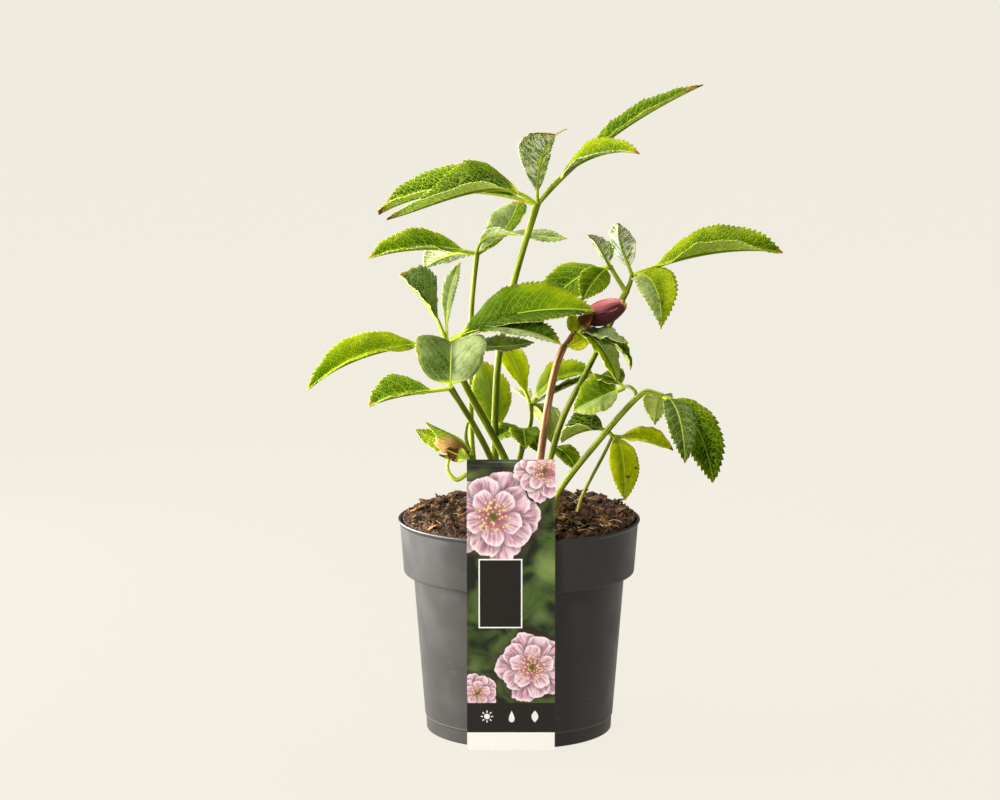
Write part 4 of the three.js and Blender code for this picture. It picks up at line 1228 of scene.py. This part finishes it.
def buildBlossomGroup():
    # one printed blossom over what is under it, from the print's own map in label heights
    inputs = {"Map": "Vector", "X": "Float", "Y": "Float", "Radius": "Float", "Turn": "Float", "Under": "Color"}
    group, given = openGroup("printedBlossom", inputs, {"Colour": "Color"})
    x, y, _ = split(given["Map"])
    dx = (x - given["X"]) / given["Radius"]
    dy = (y - given["Y"]) / given["Radius"]
    reach = calc("SQRT", dx * dx + dy * dy)
    angle = calc("ARCTAN2", dy, dx) / fullTurn + given["Turn"]
    spot = combine(dx, dy, given["Turn"])
    ragged = (cloud(spot, 4.0, 3.0) - 0.5) * 0.26
    colour = given["Under"]
    for size, shift in labelLook["petals"]:
        turned = angle * 5.0 + shift
        across = calc("PINGPONG", turned, 0.5) * 2.0
        inside = size - calc("POWER", across, 2.6) * (0.42 * size) + ragged - reach
        lines = combine(turned * 13.0, reach * 1.6, shift)
        veins = remap(cloud(lines, 1.0, 3.0, 0.6, 0.5), 0.44, 0.6)
        petal = paint(
            rgb(0.74, 0.5, 0.54),
            (veins * 0.8, rgb(0.36, 0.12, 0.19)),
            (fade(inside, 0.0, 0.14, 0.8), rgb(0.88, 0.76, 0.74)),
            (remap(across, 0.62, 1.0, 0.0, 0.8), rgb(0.28, 0.07, 0.1)),
            (fade(reach, 0.12, 0.5, 0.9), rgb(0.3, 0.08, 0.09)),
        )
        shadow = remap(inside, -0.2, 0.0, 0.0, 0.5)
        colour = paint(colour, (shadow, rgb(0.05, 0.018, 0.02)), (remap(inside, -0.01, 0.015), petal))
    stamens = addNode("TexVoronoi", {"Vector": spot, "Scale": 13.0, "Randomness": 0.9}, "Distance")
    colour = blend(fade(reach, 0.34, 0.44) * fade(stamens, 0.26, 0.46), colour, rgb(0.72, 0.58, 0.24))
    return closeGroup(group, {"Colour": blend(fade(reach, 0.04, 0.14), colour, rgb(0.09, 0.09, 0.015))})


def rectangleMask(x, y, left, low, wide, high):
    soft = labelLook["softEdge"]
    inside = remap(x, left, left + soft) * fade(x, left + wide - soft, left + wide)
    return inside * (remap(y, low, low + soft) * fade(y, low + high - soft, low + high))


def buildPrint():
    blossom = buildBlossomGroup()
    made = newMaterial("labelPrint", roughness=0.35, specular=0.25, coat=0.12, coatRoughness=0.2)
    sheet = sheetPlace()
    x, y, _ = split(sheet)
    foliage = remap(cloud(sheet, 9.0, 3.0, 0.5, 1.2), 0.36, 0.62)
    colour = blend(foliage, rgb(0.01, 0.014, 0.006), rgb(0.06, 0.1, 0.02))
    colour = blend(remap(cloud(sheet, 5.0, 1.0), 0.56, 0.72, 0.0, 0.6), colour, rgb(0.26, 0.34, 0.1))
    aspect = labelLook["width"] / labelHeight
    for bx, by, radius, turn in labelLook["blossoms"]:
        sockets = {"Map": sheet, "X": bx * aspect, "Y": by, "Radius": radius, "Turn": turn, "Under": colour}
        colour = addNode("Group", sockets, node_tree=blossom)
    left, low, wide, high = labelLook["panel"]
    edge, soft = labelLook["panelEdge"], labelLook["softEdge"]
    border = rectangleMask(x, y, left * aspect, low, wide * aspect, high)
    inner = rectangleMask(x, y, left * aspect + edge, low + edge, wide * aspect - 2 * edge, high - 2 * edge)
    foot, head = labelLook["band"]
    feed("Base Color", paint(
        colour,
        (border, rgb(0.82, 0.79, 0.72)),
        (inner, rgb(0.013, 0.011, 0.009)),
        (fade(y, head, head + soft), rgb(0.015, 0.012, 0.01)),
        (fade(y, foot, foot + soft), rgb(0.8, 0.77, 0.7)),
    ))
    bump(cloud(sheet, 60.0, 2.0), 0.03, 0.0002)
    return made


def flatShape(outline, x, z, size, material):
    # a filled flat outline standing on the label's face
    bpy.ops.mesh.primitive_circle_add(vertices=len(outline), radius=1, fill_type="NGON", location=(0, 0, 0))
    shape = lastAdded()
    for vertex, (a, b) in zip(shape.data.vertices, outline):
        vertex.co = ((x + a * size) * mm, (labelLook["front"] - 0.01) * mm, (z + b * size) * mm)
    thicken(shape, labelLook["signs"]["ink"] * mm, 0)
    setMaterials(shape.data, material)
    return shape


def makePictograms(material):
    signs = labelLook["signs"]
    low = labelLook["foot"] + labelHeight * signs["height"]
    sunX, dropX, leafX = (labelLook["x"] + signs[name] for name in ("sun", "drop", "leaf"))
    count = 24
    disc = [onRing(a * fullTurn / count, 0.5) for a in range(count)]
    shapes = [flatShape(disc, sunX, low, 3.0, material)]
    for a in (i * math.pi / 4 for i in range(8)):
        corners = ((-0.16, 0.72), (-0.07, 1.1), (0.07, 1.1), (0.16, 0.72))
        ray = [onRing(a + d, r) for d, r in corners]
        shapes.append(flatShape(ray, sunX, low, 3.0, material))
    turns = [i / 30 * fullTurn for i in range(30)]
    drop = [(0.75 * math.sin(a) * math.sin(a / 2) ** 1.4, 1.1 * math.cos(a)) for a in turns]
    shapes.append(flatShape(drop, dropX, low, 2.8, material))
    steps = [(-0.62, i / 12) for i in range(12)] + [(0.62, 1 - i / 12) for i in range(12)]
    leaf = [(half * math.sin(math.pi * b), -1.1 + 2.2 * b) for half, b in steps]
    shapes.append(flatShape(leaf, leafX, low, 2.9, material))
    return shapes


def labelSection():
    # the side view of the sheet: up the front, round the fold and a little way down the back
    front, foot, fold, corner = (labelLook[key] for key in ("front", "foot", "fold", "corner"))
    foldHeight = labelLook["top"] - fold
    section = [(front, foot)]
    section += [(front, foot + corner + (foldHeight - foot - corner) * i / 40) for i in range(41)]
    for a in range(1, 21):
        angle = a * math.pi / 20
        section.append((front + fold - fold * math.cos(angle), foldHeight + fold * math.sin(angle)))
    section.append((front + 2 * fold, foldHeight - 8))
    return section, foldHeight


def makeTongue(foldHeight, material):
    thick, foot = labelLook["thickness"], labelLook["tongueFoot"]
    back = labelLook["front"] + 2 * labelLook["fold"]
    bpy.ops.mesh.primitive_cube_add(
        size=1, location=(labelLook["x"] * mm, (back - thick / 2) * mm, (foldHeight - 4 + foot) / 2 * mm),
        scale=(labelLook["tongue"] * mm, thick * mm * 0.98, (foldHeight - 4 - foot) * mm))
    tongue = lastAdded()
    bpy.ops.object.transform_apply(location=True, rotation=True, scale=True)
    softened = tongue.modifiers.new("edges", "BEVEL")
    softened.width = 0.15 * mm
    softened.segments = 2
    applyModifiers(tongue)
    setMaterials(tongue.data, material)
    return tongue


def makeLabel():
    width, corner = labelLook["width"], labelLook["corner"]
    left = labelLook["x"] - width / 2
    section, foldHeight = labelSection()
    rows = len(section) - 1
    sheet = addGrid(24, rows)
    uvs, run = [], [0.0]
    for a, b in zip(section, section[1:]):
        run.append(run[-1] + math.dist(a, b))
    for vertex in sheet.data.vertices:
        across = vertex.co.x + 0.5
        row = round((vertex.co.y + 0.5) * rows)
        y, z = section[row]
        inset = corner if row == 0 else 0
        px = left + inset + across * (width - 2 * inset)
        vertex.co = (px * mm, y * mm, z * mm)
        uvs.append(((px - left) / labelHeight, run[row] / labelHeight))
    writeUv(sheet.data, uvs)
    card = cloudedMaterial("labelBack", (0.72, 0.7, 0.66), (0.62, 0.6, 0.55), 90.0, 3.0, share=0.3,
                           roughness=0.4, specular=0.4)
    ink = cloudedMaterial("pictogramInk", (0.78, 0.75, 0.69), (0.7, 0.67, 0.6), 400.0, 2.0,
                          roughness=0.35, specular=0.4)
    tongue = makeTongue(foldHeight, card)
    setMaterials(sheet.data, buildPrint(), card)
    smoothFaces(sheet.data)
    thicken(sheet, labelLook["thickness"] * mm, back=1)
    smoothShading(sheet, 40)
    made = joinPieces([sheet, tongue] + makePictograms(ink), "stickLabel")
    handOver(made, "label", "label")


makeLabel()
print("label made")


# floor, light and camera

studio = {
    "background": rgb(0.888, 0.847, 0.753),
    "floorSize": 60,
    # how bright the floor and the world are to the light, and to the camera
    "floor": (0.55, 0.98),
    "world": (0.15, 0.98),
    "lens": 120.6,
    "sensor": 36,
    "camera": (-10.2, -1765.0, 467.7),
    "pitch": 9.3,
    # place, target, size and power
    "lights": {
        "leftWall": ((-1.7, -0.1, 0.8), (0, 0, 0.15), (2.0, 1.2), 48),
        "keyLight": ((-0.9, -1.75, 1.6), (0, 0, 0.2), (0.6, 0.6), 46),
        "topLight": ((-0.1, 0.25, 1.7), (0, 0, 0.2), (0.8, 0.6), 32),
        "potStrip": ((-0.55, 0.1, 0.16), (0, 0, 0.07), (1.0, 0.34), 17),
    },
}


def brightness(name):
    return remap(addNode("LightPath", output="Is Camera Ray"), 0.0, 1.0, *studio[name])


def makeFloor():
    bpy.ops.mesh.primitive_plane_add(size=1, location=(0, 0, 0))
    floor = lastAdded()
    floor.name = "studioFloor"
    startEdit()
    bpy.ops.transform.resize(value=(studio["floorSize"], studio["floorSize"], 1))
    endEdit()
    paper = newMaterial("paper", roughness=1.0, specular=0.0)
    grain = cloud(objectPlace(), 3.0, 2.0) * 0.1
    feed("Base Color", blend(grain, rgb(0.01, 0.0095, 0.0085), rgb(0.009, 0.0085, 0.0075)))
    making["shader"].inputs["Emission Color"].default_value = studio["background"]
    feed("Emission Strength", brightness("floor"))
    setMaterials(floor.data, paper)


def areaLight(name, place, target, size, power):
    bpy.ops.object.light_add(type="AREA", location=place)
    lamp = lastAdded()
    lamp.name = name
    lamp.data.shape = "RECTANGLE"
    lamp.data.size, lamp.data.size_y = size
    lamp.data.energy = power
    aim = Vector(target) - Vector(place)
    lamp.rotation_euler = aim.to_track_quat("-Z", "Y").to_euler()


def makeStudio():
    scene = bpy.context.scene
    scene.world = scene.world or bpy.data.worlds.new("studio")
    scene.world.use_nodes = True
    back = scene.world.node_tree.nodes["Background"]
    back.inputs["Color"].default_value = studio["background"]
    making.update(tree=scene.world.node_tree, shader=back)
    feed("Strength", brightness("world"))
    for name, setting in studio["lights"].items():
        areaLight(name, *setting)
    bpy.ops.object.camera_add(location=Vector(studio["camera"]) * mm,
                              rotation=(math.radians(90 - studio["pitch"]), 0, 0))
    camera = lastAdded()
    camera.data.lens = studio["lens"]
    camera.data.sensor_width = studio["sensor"]
    scene.camera = camera
    scene.view_settings.view_transform = "Standard"


makeFloor()
makeStudio()
print("stage, lights and camera set")
